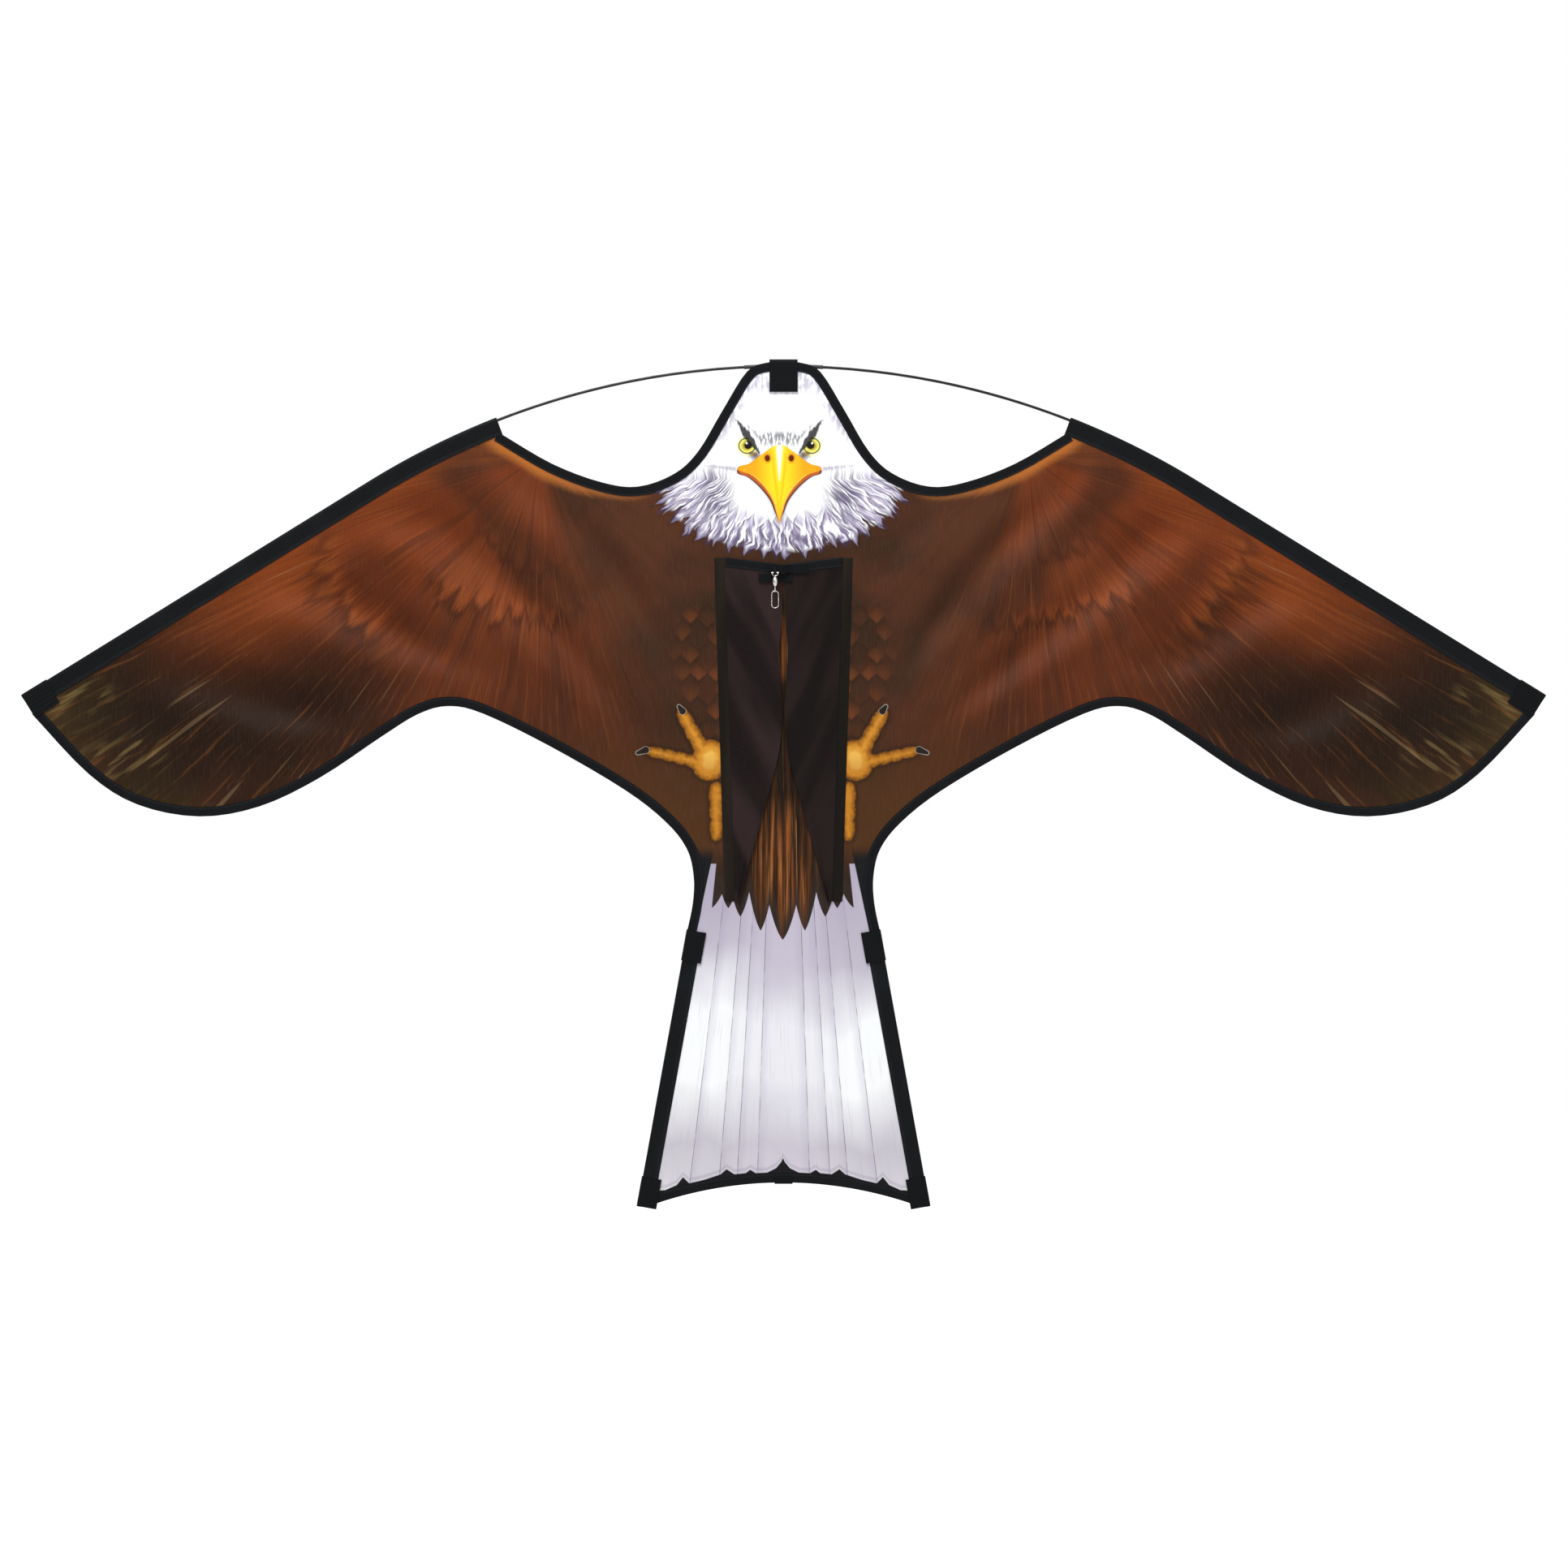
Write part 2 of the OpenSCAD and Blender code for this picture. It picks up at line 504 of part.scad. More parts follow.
// Tow tabs: webbing from the top of each flap, long enough to meet in front of the middle
tab_sewn = 22;
tab_rise = 9;
tow_tab_y = -tow_stand_off + bar_r + rod_fit + 2 * webbing_t + edge_gap - webbing_t / 2;
tab_end = 5;
right_tab_top = -tow_bar_drop + tow_tab_w;
left_tab_top = right_tab_top - tow_tab_w - 2 * edge_gap;
right_tab_path = concat(
    [[tab_sewn, tab_y]],
    [for (k = [0:round_steps]) let (share = k / round_steps)
        [tab_rise * (1 - share) - tow_side / 2 * share + edge_gap,
            tow_tab_y + (tab_y - tow_tab_y) * (1 + cos(180 * share)) / 2]],
    [[-tow_side - tab_end, tow_tab_y]]);
module right_tow_tab() color("black") kite() translate([0, 0, right_tab_top - tow_tab_w])
    linear_extrude(tow_tab_w) polygon(ribbon(right_tab_path, webbing_t));
module left_tow_tab() color("black") kite() translate([-tab_sewn, tab_y - webbing_t / 2,
    left_tab_top - tow_tab_w]) cube([tab_sewn + tow_side, webbing_t, tow_tab_w]);

// Tow loop: narrow webbing folded round the swivel's top bar and sewn to the tow tab
loop_r = bar_r + rod_fit;
loop_leaf = tow_tab_w - edge_gap;
loop_reach = eye_half - bail_r - edge_gap;
loop_half = sqrt(loop_reach * loop_reach - (loop_r + webbing_t) * (loop_r + webbing_t));
module tow_loop() color("black") kite() translate([-tow_side - loop_half, -tow_stand_off,
    -tow_bar_drop]) rotate([90, 0, 90]) linear_extrude(2 * loop_half) difference() {
        union() {
            circle(r = loop_r + webbing_t);
            translate([-loop_r - webbing_t, 0]) square([2 * (loop_r + webbing_t), loop_leaf]);
        }
        circle(r = loop_r);
        translate([-cloth_fit, 0]) square([2 * cloth_fit, loop_leaf + overrun]);
    }

// Swivel and snap hang down their own axis
module tow_axis() kite() translate([-tow_side, -tow_stand_off, -tow_bar_drop]) children();
module wire(a, b, r) translate(a) rotate([0, atan2(b.x - a.x, b.z - a.z), 0])
    cylinder(r = r, h = norm(b - a));
// Upper eye: a stirrup of wire under a straight bar, on the shank that turns in the barrel
module swivel_upper_eye() color("silver") tow_axis() {
    wire([-eye_half - bar_r, 0, 0], [eye_half + bar_r, 0, 0], bar_r);
    plane() rotate([0, 0, 180]) rotate_extrude(angle = 180) translate([eye_half, 0]) circle(r = bail_r);
    translate([0, 0, -barrel_top - neck_len]) cylinder(r = bar_r, h = barrel_top + neck_len - eye_half);
}
// Barrel: a turned body with rounded shoulders and a blind bore at each end
barrel_r = barrel_d / 2;
barrel_shares = [
    [0.45, 0], [0.62, 0.06], [0.8, 0.2], [1, 0.32], [1, 0.68], [0.8, 0.8], [0.62, 0.94], [0.45, 1]
];
module swivel_barrel() color("silver") tow_axis() translate([0, 0, -barrel_foot]) difference() {
    rotate_extrude() polygon(concat([[0, 0]],
        [for (q = barrel_shares) [q.x * barrel_r, q.y * barrel_len]], [[0, barrel_len]]));
    translate([0, 0, barrel_len - neck_len - edge_gap]) cylinder(r = barrel_bore_r, h = neck_len + overrun);
    translate([0, 0, edge_gap - overrun]) cylinder(r = barrel_bore_r, h = neck_len + overrun);
}
module swivel_lower_eye() color("silver") tow_axis() {
    translate([0, 0, -barrel_foot - neck_len]) cylinder(r = bar_r, h = 2 * neck_len);
    translate([0, 0, -lower_eye_drop]) rotate([0, 90, 0]) rotate_extrude()
        translate([lower_eye_r, 0]) circle(r = bar_r);
}
// Snap: a wire bow open on the right, where the gate closes it
gate_gap = 0.5;
module snap_bend(drop, turn) translate([0, 0, -drop]) plane() rotate([0, 0, turn])
    rotate_extrude(angle = 180) translate([snap_r, 0]) circle(r = snap_wire_r);
module snap_clip() color("silver") tow_axis() {
    snap_bend(snap_head_drop, 0);
    snap_bend(snap_foot_drop, 180);
    wire([-snap_r, 0, -snap_foot_drop], [-snap_r, 0, -snap_head_drop], snap_wire_r);
}
module snap_gate() color("silver") tow_axis()
    wire([snap_r, 0, -snap_foot_drop + gate_gap], [snap_r, 0, -snap_head_drop - gate_gap], snap_wire_r);

sail();
head_binding();
wing_binding(-1);  // left_wing_binding
wing_binding(1);  // right_wing_binding
tail_binding();
wing_sleeve(-1);  // left_wing_sleeve
wing_sleeve(1);  // right_wing_sleeve
tail_sleeve(-1);  // left_tail_sleeve
tail_sleeve(1);  // right_tail_sleeve
wing_tip_patch(-1);  // left_wing_tip_patch
wing_tip_patch(1);  // right_wing_tip_patch
tail_tab(-1);  // left_tail_tab
tail_tab(1);  // right_tail_tab
tail_corner_patch(-1);  // left_tail_corner_patch
tail_corner_patch(1);  // right_tail_corner_patch
head_tab();
spine_head_pocket();
spine_tail_pocket();
spar(-1);  // left_spar
spar(1);  // right_spar
spar_ferrule();
spine();
tail_rod(-1);  // left_tail_rod
tail_rod(1);  // right_tail_rod
spar_end_caps();
tail_rod_end_caps();
spine_end_caps();
keel_hem(-1);  // left_keel_hem
keel_hem(1);  // right_keel_hem
keel_flap(-1);  // left_keel_flap
keel_flap(1);  // right_keel_flap
keel_binding(-1);  // left_keel_binding
keel_binding(1);  // right_keel_binding
left_tow_tab();
right_tow_tab();
tow_loop();
swivel_upper_eye();
swivel_barrel();
swivel_lower_eye();
snap_clip();
snap_gate();
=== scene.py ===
"""Looks of the eagle-shaped kite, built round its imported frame.

Metres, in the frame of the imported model: the printed face looks along -Y and the head points up.
The print and the cloth are laid out in millimetres from the top of the spar, on the middle line.
"""

from __future__ import annotations

import logging
import math
from dataclasses import dataclass
from enum import Enum
from functools import cached_property, reduce
from typing import Iterable, Sequence

import bpy
import numpy as np
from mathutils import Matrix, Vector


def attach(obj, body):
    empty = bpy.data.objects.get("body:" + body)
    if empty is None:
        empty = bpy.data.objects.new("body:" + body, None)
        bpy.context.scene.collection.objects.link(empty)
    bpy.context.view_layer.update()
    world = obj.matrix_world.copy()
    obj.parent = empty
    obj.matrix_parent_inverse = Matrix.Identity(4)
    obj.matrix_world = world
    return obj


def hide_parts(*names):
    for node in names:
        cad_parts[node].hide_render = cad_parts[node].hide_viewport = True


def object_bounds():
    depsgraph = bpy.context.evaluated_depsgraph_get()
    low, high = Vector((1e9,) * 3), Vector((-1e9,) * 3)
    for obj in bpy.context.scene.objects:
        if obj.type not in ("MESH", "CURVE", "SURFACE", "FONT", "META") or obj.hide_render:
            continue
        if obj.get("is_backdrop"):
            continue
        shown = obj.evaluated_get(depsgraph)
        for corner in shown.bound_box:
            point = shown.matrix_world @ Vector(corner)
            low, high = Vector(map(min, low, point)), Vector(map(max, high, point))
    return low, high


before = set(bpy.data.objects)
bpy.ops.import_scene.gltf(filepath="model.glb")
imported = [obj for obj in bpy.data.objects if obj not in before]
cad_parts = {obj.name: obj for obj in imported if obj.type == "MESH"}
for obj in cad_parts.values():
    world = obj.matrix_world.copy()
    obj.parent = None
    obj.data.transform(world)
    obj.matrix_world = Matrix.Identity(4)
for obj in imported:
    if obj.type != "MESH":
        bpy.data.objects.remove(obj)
CAD_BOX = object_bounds()
LOG = logging.getLogger("kite")

MM = 0.001
PER_METRE = 1000.0
TURN = 6.283
HALF_TURN = 3.1416
SOFT_ANGLE = math.radians(50)
ACROSS = (1.0, 0.0, 0.0)
UP = (0.0, 0.0, 1.0)
TOW_SIDE = 7.5
TOW_STAND_OFF = 9.0
TOW_DROP = 214.07


Points = np.ndarray
Piece = bpy.types.Object
Material = bpy.types.Material


class Side(Enum):
    """The two hands of the kite, as seen from the printed face."""

    LEFT = -1
    RIGHT = 1

    @property
    def word(self) -> str:
        """The name that the pieces of this hand start with."""
        return self.name.lower()


class Slot(Enum):
    """Material slots of the pieces made here, as the record names them."""

    SAIL = "sail_cloth"
    TAPE = "edge_tape"
    WEBBING = "webbing"
    KEEL = "keel_cloth"


class Face(Enum):
    """The two faces of the sail, with how far the ink fades on each."""

    FRONT = 0.0
    BACK = 0.22


class Zone(Enum):
    """Parts of the print, each with a shader of its own, in the order of the sail's materials."""

    WING = 0
    HEAD = 1
    TAIL = 2


def ink(code: str) -> tuple[float, float, float, float]:
    """Turns a written colour into the linear colour of a shader.

    Args:
        code: six hexadecimal digits, two for each of red, green and blue.

    Returns:
        Linear red, green, blue and an alpha of one.
    """
    parts = [int(code[i:i + 2], 16) / 255 for i in (0, 2, 4)]
    linear = [p / 12.92 if p <= 0.04045 else ((p + 0.055) / 1.055) ** 2.4 for p in parts]
    return linear[0], linear[1], linear[2], 1.0


class Tone:
    """A number or colour that varies over a surface, held as a socket and used like a number."""

    def __init__(self, board: Board, socket: bpy.types.NodeSocket) -> None:
        """Keeps the socket and the board that it is on."""
        self.board = board
        self.socket = socket

    def __add__(self, other: Tone | float) -> Tone:
        """Sum."""
        return self.board.math("ADD", self, other)

    __radd__ = __add__

    def __sub__(self, other: Tone | float) -> Tone:
        """Difference."""
        return self.board.math("SUBTRACT", self, other)

    def __rsub__(self, other: Tone | float) -> Tone:
        """Difference from a number."""
        return self.board.math("SUBTRACT", other, self)

    def __mul__(self, other: Tone | float) -> Tone:
        """Product."""
        return self.board.math("MULTIPLY", self, other)

    __rmul__ = __mul__

    def __truediv__(self, other: Tone | float) -> Tone:
        """Quotient."""
        return self.board.math("DIVIDE", self, other)

    def magnitude(self) -> Tone:
        """Size without sign."""
        return self.board.math("ABSOLUTE", self)

    def fract(self) -> Tone:
        """Part after the point."""
        return self.board.math("FRACT", self)

    def floor(self) -> Tone:
        """Whole part."""
        return self.board.math("FLOOR", self)

    def root(self) -> Tone:
        """Square root."""
        return self.board.math("SQRT", self)

    def sine(self) -> Tone:
        """Sine of an angle in radians."""
        return self.board.math("SINE", self)

    def at_least(self, other: Tone | float) -> Tone:
        """The larger of two numbers."""
        return self.board.math("MAXIMUM", self, other)

    def at_most(self, other: Tone | float) -> Tone:
        """The smaller of two numbers."""
        return self.board.math("MINIMUM", self, other)

    def rise(self, low: float, high: float) -> Tone:
        """A smooth step.

        Args:
            low: where it is still nothing.
            high: where it has reached one.

        Returns:
            The step, from 0 to 1.
        """
        node = self.board.node("ShaderNodeMapRange", interpolation_type="SMOOTHSTEP")
        self.board.feed(node.inputs["Value"], self)
        node.inputs["From Min"].default_value = low
        node.inputs["From Max"].default_value = high
        return Tone(self.board, node.outputs["Result"])

    def fall(self, low: float, high: float) -> Tone:
        """The same step downwards, from 1 at low to 0 at high."""
        return 1.0 - self.rise(low, high)

    def within(self, low: float, in_low: float, in_high: float, high: float) -> Tone:
        """A band that is 0 outside low and high, and 1 between the two inner numbers."""
        return self.rise(low, in_low) * self.fall(in_high, high)

    def hypot(self, other: Tone) -> Tone:
        """Length of the slant over this number and another."""
        return (self * self + other * other).root()

    def blend(self, share: Value, over: Paint) -> Tone:
        """This colour with a share of another laid over it."""
        return self.board.mix(share, self, over)


Value = Tone | float
Paint = Tone | str


def highest(tones: Iterable[Tone]) -> Tone:
    """The largest of several numbers."""
    return reduce(Tone.at_least, tones)


class Board:
    """The node tree of one finish."""

    def __init__(self, name: str) -> None:
        """Makes the material and finds its shader.

        Args:
            name: the finish's name.
        """
        self.material = bpy.data.materials.new(name)
        self.material.use_nodes = True
        self.tree = self.material.node_tree
        self.shader = self.tree.nodes["Principled BSDF"]

    def node(self, kind: str, **settings: object) -> bpy.types.Node:
        """Adds a node.

        Args:
            kind: Blender's name of the node type.
            settings: properties of the node.

        Returns:
            The node.
        """
        made = self.tree.nodes.new(kind)
        for key, value in settings.items():
            setattr(made, key, value)
        return made

    def feed(self, socket: bpy.types.NodeSocket, value: Value | Paint) -> None:
        """Links a tone to a socket, or sets a plain value on it.

        Args:
            socket: the socket.
            value: a tone, a number or a written colour.
        """
        if isinstance(value, Tone):
            self.tree.links.new(value.socket, socket)
        else:
            socket.default_value = ink(value) if isinstance(value, str) else value

    def math(self, operation: str, a: Value, b: Value = 0.0) -> Tone:
        """Adds a math node.

        Args:
            operation: Blender's name of the sum.
            a: first number.
            b: second number, where the sum has one.

        Returns:
            The result.
        """
        node = self.node("ShaderNodeMath", operation=operation)
        self.feed(node.inputs[0], a)
        self.feed(node.inputs[1], b)
        return Tone(self, node.outputs[0])

    def measured(self, source: bpy.types.NodeSocket, count: int) -> list[Tone]:
        """Parts of a vector in millimetres.

        Args:
            source: the vector's socket.
            count: how many of its parts are wanted.

        Returns:
            The first parts.
        """
        parts = self.node("ShaderNodeSeparateXYZ")
        self.tree.links.new(source, parts.inputs[0])
        return [Tone(self, parts.outputs[i]) * PER_METRE for i in range(count)]

    def place(self) -> tuple[Tone, Tone, Tone]:
        """Object coordinates in millimetres from the top of the spar: across, back and up."""
        x, y, z = self.measured(self.node("ShaderNodeTexCoord").outputs["Object"], 3)
        return x - TOW_SIDE, y - TOW_STAND_OFF, z - TOW_DROP

    def cloth_uv(self) -> tuple[Tone, Tone]:
        """The piece's own map in millimetres: along the tape and across it."""
        along, across = self.measured(self.node("ShaderNodeUVMap", uv_map="UVMap").outputs["UV"], 2)
        return along, across

    def joined(self, x: Value, y: Value) -> Tone:
        """Joins two numbers.

        Args:
            x: the first.
            y: the second.

        Returns:
            Both as one vector.
        """
        node = self.node("ShaderNodeCombineXYZ")
        self.feed(node.inputs[0], x)
        self.feed(node.inputs[1], y)
        return Tone(self, node.outputs[0])

    def noise(self, x: Value, y: Value, detail: float = 2.0, rough: float = 0.5) -> Tone:
        """Soft noise.

        Args:
            x: where it is read across, one unit to a grain.
            y: where it is read up.
            detail: octaves.
            rough: how strong the finer octaves are.

        Returns:
            Noise of about 0 to 1.
        """
        node = self.node("ShaderNodeTexNoise", noise_dimensions="2D")
        self.feed(node.inputs["Vector"], self.joined(x, y))
        node.inputs["Scale"].default_value = 1.0
        node.inputs["Detail"].default_value = detail
        node.inputs["Roughness"].default_value = rough
        return Tone(self, node.outputs["Fac"])

    def chance(self, x: Value, y: Value) -> Tone:
        """Draws a random number for each pair of whole numbers.

        Args:
            x: the first of the pair.
            y: the second.

        Returns:
            A number from 0 to 1.
        """
        node = self.node("ShaderNodeTexWhiteNoise", noise_dimensions="2D")
        self.feed(node.inputs["Vector"], self.joined(x, y))
        return Tone(self, node.outputs["Value"])

    def curve(self, x: Tone, points: Sequence[tuple[float, float]], sharp: bool = False) -> Tone:
        """A drawn curve.

        Args:
            x: the number that is looked up.
            points: pairs of a number and its value, from low to high.
            sharp: straight lines between the points.

        Returns:
            The value at x.
        """
        low, high = points[0][0], points[-1][0]
        floor = min(p[1] for p in points)
        reach = max(p[1] for p in points) - floor
        node = self.node("ShaderNodeFloatCurve")
        line = node.mapping.curves[0]
        for i, (a, b) in enumerate(points):
            spot = ((a - low) / (high - low), (b - floor) / reach)
            if i in (0, len(points) - 1):
                line.points[-1 if i else 0].location = spot
            else:
                line.points.new(*spot)
        for point in line.points:
            point.handle_type = "VECTOR" if sharp else "AUTO"
        node.mapping.update()
        self.feed(node.inputs["Value"], (x - low) / (high - low))
        return Tone(self, node.outputs[0]) * reach + floor

    def mix(self, share: Value, a: Paint, b: Paint) -> Tone:
        """Blends two colours.

        Args:
            share: how much of the second shows.
            a: the first.
            b: the second.

        Returns:
            The blend.
        """
        node = self.node("ShaderNodeMix", data_type="RGBA", clamp_factor=True)
        self.feed(node.inputs["Factor"], share)
        self.feed(node.inputs[6], a)
        self.feed(node.inputs[7], b)
        return Tone(self, node.outputs[2])

    def ramp(self, share: Tone, stops: Sequence[tuple[float, str]]) -> Tone:
        """Colours along a scale.

        Args:
            share: place on the scale, from 0 to 1.
            stops: pairs of a place and a written colour.

        Returns:
            The colour.
        """
        node = self.node("ShaderNodeValToRGB")
        ladder = node.color_ramp.elements
        for i, (at, code) in enumerate(stops):
            step = ladder[i] if i < 2 else ladder.new(at)
            step.position = at
            step.color = ink(code)
        self.feed(node.inputs[0], share)
        return Tone(self, node.outputs[0])

    def finish(self, paint: Paint, rough: Value, height: Tone | None = None, depth: float = 0.05,
               **constants: float) -> Material:
        """Connects the shader.

        Args:
            paint: base colour.
            rough: roughness.
            height: relief, or none.
            depth: depth of the relief in millimetres.
            constants: other sockets of the shader, by name with underscores for spaces.

        Returns:
            The material.
        """
        self.feed(self.shader.inputs["Base Color"], paint)
        self.feed(self.shader.inputs["Roughness"], rough)
        for key, value in constants.items():
            self.shader.inputs[key.replace("_", " ")].default_value = value
        if height is not None:
            bump = self.node("ShaderNodeBump")
            bump.inputs["Strength"].default_value = 1.0
            bump.inputs["Distance"].default_value = depth * MM
            self.feed(bump.inputs["Height"], height)
            self.tree.links.new(bump.outputs["Normal"], self.shader.inputs["Normal"])
        return self.material


@dataclass(frozen=True)
class Row:
    """One row of feathers, by distance from the point that they fan out from."""

    reach: float
    pitch: float
    depth: float
    stagger: float
    pointed: bool = False
    soft: float = 0.02

    def lay(self, run: Tone, turn: Tone) -> tuple[Tone, Tone, Tone]:
        """Lays the row out.

        Args:
            run: distance along the feathers.
            turn: angle across them.

        Returns:
            Cover of the row, glow towards its tips and shade that it throws beyond them.
        """
        count = turn / self.pitch + self.stagger
        across = (count.fract() - 0.5) * 2
        luck = run.board.chance(count.floor(), self.stagger * 7 + 3)
        shape = across.magnitude() if self.pointed else across * across
        tip = self.reach * (0.97 + 0.06 * luck) - shape * self.depth
        past = run - tip
        cover = past.fall(-self.soft * self.reach, 0.25 * self.soft * self.reach)
        glow = past.rise(-0.16 * self.reach, 0) * across.magnitude().fall(0.35, 1)
        shade = past.fall(0, 0.1 * self.reach)
        return cover, glow, shade


@dataclass(frozen=True)
class FanSpot:
    """Where a spot of the print lies in the fan of a wing's feathers."""

    side: Tone
    length: Tone
    straight: Tone
    run: Tone
    turn: Tone


@dataclass(frozen=True)
class EaglePrint:
    """The figure printed on the sail: a white-headed eagle with spread wings."""

    face: Face
    zone: Zone
    fan: tuple[float, float] = (215, -78)
    ruff: tuple[float, float, float, float] = (-2.5, -100, 112, 66)
    face_side: float = -3.7

    @cached_property
    def board(self) -> Board:
        """The node tree of this part of the print."""
        return Board(f"sail_{self.zone.name}_{self.face.name}".lower())

    @cached_property
    def place(self) -> tuple[Tone, Tone]:
        """The place on the sail, across and up."""
        x, _, w = self.board.place()
        return x, w

    def stroke(self, x: Tone, a: tuple[float, float], b: tuple[float, float]) -> tuple[Tone, Tone]:
        """Distance from a straight stroke.

        Args:
            x: place across.
            a: start of the stroke.
            b: its end.

        Returns:
            Distance from the stroke, and the share of its length, from 0 to 1.
        """
        w = self.place[1]
        dx, dw = b[0] - a[0], b[1] - a[1]
        size = dx * dx + dw * dw
        share = ((x - a[0]) * (dx / size) + (w - a[1]) * (dw / size)).at_least(0).at_most(1)
        across, up = x - a[0] - share * dx, w - a[1] - share * dw
        return across.hypot(up), share

    def wings(self) -> tuple[Tone, Tone]:
        """Body and wing feathers, fanned out from each shoulder.

        Returns:
            The colour, and the fine streaks in it.
        """
        board, (x, w) = self.board, self.place
        side = x.magnitude()
        warp = board.noise(x * 0.013, w * 0.013, 3) - 0.5
        out, down = side - self.fan[0], self.fan[1] - w
        length = out.hypot(down)
        straight = board.math("ARCTAN2", out, down)
        spot = FanSpot(side, length, straight, length + warp * 60, straight + warp * 0.1)
        fine = board.noise((straight + warp * 0.012) * 80, length * 0.011, 4, 0.6)
        broad = board.noise(spot.turn * 9 + 3, spot.run * 0.006, 2)
        cloud = board.noise(x * 0.011 + 7, w * 0.011, 2)
        paint = board.ramp(spot.run * (1 / 520), [
            (0, "5e3119"), (0.3, "602f18"), (0.42, "562914"), (0.55, "411f0f"), (0.68, "28160b"),
            (0.8, "23150b"), (0.9, "322513"), (1, "42341c")])
        paint = paint.blend(broad.rise(0.4, 0.75) * 0.6, "3a2015")
        if self.zone is Zone.WING:
            paint = self.plumes(paint, spot, fine, broad)
        paint = paint.blend(fine.fall(0.3, 0.52) * 0.26, "2b170e")
        paint = paint.blend(fine.rise(0.56, 0.76) * 0.16, "a0602f")
        if self.zone is Zone.WING:
            paint = self.straw(paint, spot)
        body = board.mix(cloud.rise(0.35, 0.7), "2e2015", "46291a")
        paint = paint.blend(spot.turn.fall(-0.6, 0) * 0.85, body)
        return paint.blend(w.fall(-400, -300) * side.fall(150, 260) * 0.8, "492d17"), fine

    def plumes(self, paint: Tone, spot: FanSpot, fine: Tone, broad: Tone) -> Tone:
        """Rust rows of the wing, a dark band of print, and painted shade along two folds from the
        shoulder.

        Args:
            paint: colour of the wing.
            spot: place in the fan.
            fine: fine streaks.
            broad: broad streaks.

        Returns:
            The colour with the rows on it.
        """
        band = spot.length.within(60, 130, 250, 430)
        paint = paint.blend(spot.straight.rise(0.75, 1.1) * band * 0.8, "783814")
        rag = spot.run + (fine - 0.5) * 34
        coverts = spot.turn.within(-0.4, -0.08, 0.55, 0.9)
        leading = spot.turn.within(0.5, 0.8, 1.15, 1.4)
        rows = [(Row(226, 0.085, 15, 0.6, soft=0.06), leading, "6b3014", "8e4c22"),
                (Row(150, 0.11, 14, 0.1, soft=0.06), coverts, "70361a", "8d4821"),
                (Row(97, 0.17, 10, 0.45, soft=0.08), coverts, "69331a", "84421f")]
        for row, zone, rust, tip in rows:
            cover, glow, shade = row.lay(rag, spot.turn)
            paint = paint.blend(shade * zone * 0.5, "2e170d")
            blade = self.board.mix(glow * 0.7, rust, tip)
            paint = paint.blend(cover * zone * broad.rise(0.15, 0.5) * 0.85, blade)
        # A dark band of print in the lower wing, then two strokes of painted shade along folds that run
        # from the shoulder.
        dark_band_and_fold_shades = [((575, -318), (410, -302), 5, 95, 0.8, "1a110a"),
                   ((288, -106), (188, -212), 3, 34, 0.6, "2b1a11"),
                   ((372, -176), (330, -224), 3, 28, 0.6, "46200f")]
        for start, end, near, far, share, code in dark_band_and_fold_shades:
            gap = self.stroke(spot.side, start, end)[0] + (spot.run - spot.length) * 0.8
            paint = paint.blend(gap.fall(near, far) * share, code)
        return paint

    def straw(self, paint: Tone, spot: FanSpot) -> Tone:
        """Pale tufts at the wing tip and a few long shafts.

        Args:
            paint: colour of the wing.
            spot: place in the fan.

        Returns:
            The colour with the pale strokes on it.
        """
        board = self.board
        dash = board.noise(spot.straight * 66 + 5, spot.length * 0.02, 2).rise(0.5, 0.72)
        upper = self.stroke(spot.side, (645, -296), (612, -294))[0].fall(4, 26)
        lower = self.stroke(spot.side, (598, -352), (566, -342))[0].fall(4, 28)
        tuft = upper.at_least(lower).at_least(spot.length.rise(430, 500) * 0.3)
        paint = paint.blend(dash * tuft * 0.36, "8a7546")
        shaft = board.noise(spot.straight * 60 + 9, spot.length * 0.006 + 4, 1)
        show = shaft.rise(0.7, 0.8) * spot.length.rise(200, 260) * spot.straight.rise(-0.2, 0.1)
        return paint.blend(show * 0.16, "a98a62")

    def scales(self, paint: Tone) -> Tone:
        """Small rust feathers beside the keel.

        Args:
            paint: colour of the body.

        Returns:
            The colour with the small feathers on it.
        """
        board, (x, w) = self.board, self.place
        side = x.magnitude()
        zone = side.within(50, 58, 74, 108)
        zone = zone * w.fall(-215, -190) * w.rise(-345, -310)
        paint = paint.blend(zone * 0.45, "2a1c13")
        for i in range(8):
            count = side / 15 + 0.5 * (i % 2)
            across = ((count.fract() - 0.5) * 2).magnitude()
            luck = board.chance(count.floor(), float(i))
            level = w - luck * 9 + (338 - 17 * i)
            past = level - across * 7
            shade = past.within(-6, 0, 0, 1)
            blade = past.rise(-0.6, 2.4) * level.fall(4, 19)
            blade = blade * luck.rise(0.3, 0.8) * (1 - across * 0.5)
            paint = paint.blend(zone * shade * 0.3, "1d120c")
            paint = paint.blend(zone * blade * 0.6, "6e3b1d")
        return paint

    def neck_strip(self, paint: Tone, fine: Tone) -> Tone:
        """Tan edge along the neck tape, widest at the shoulders.

        Args:
            paint: colour of the body.
            fine: fine streaks, which fray the edge.

        Returns:
            The colour with the edge on it.
        """
        board, (x, w) = self.board, self.place
        side = x.magnitude()
        edge = board.curve(side, [(90, -90), (97, -95.6), (129.4, -106.8), (162, -102.7),
                                  (205, -86.6), (249, -60.2), (300, -40)])
        gap = edge - w + fine * 6
        width = side.rise(120, 245) * 8 + 13.5
        strip = (gap / width).fall(0.7, 1.25) * side.within(112, 135, 250, 275)
        tan = board.mix(side.rise(140, 230), "8a542b", "a8622a")
        return paint.blend(strip * 0.9, tan)

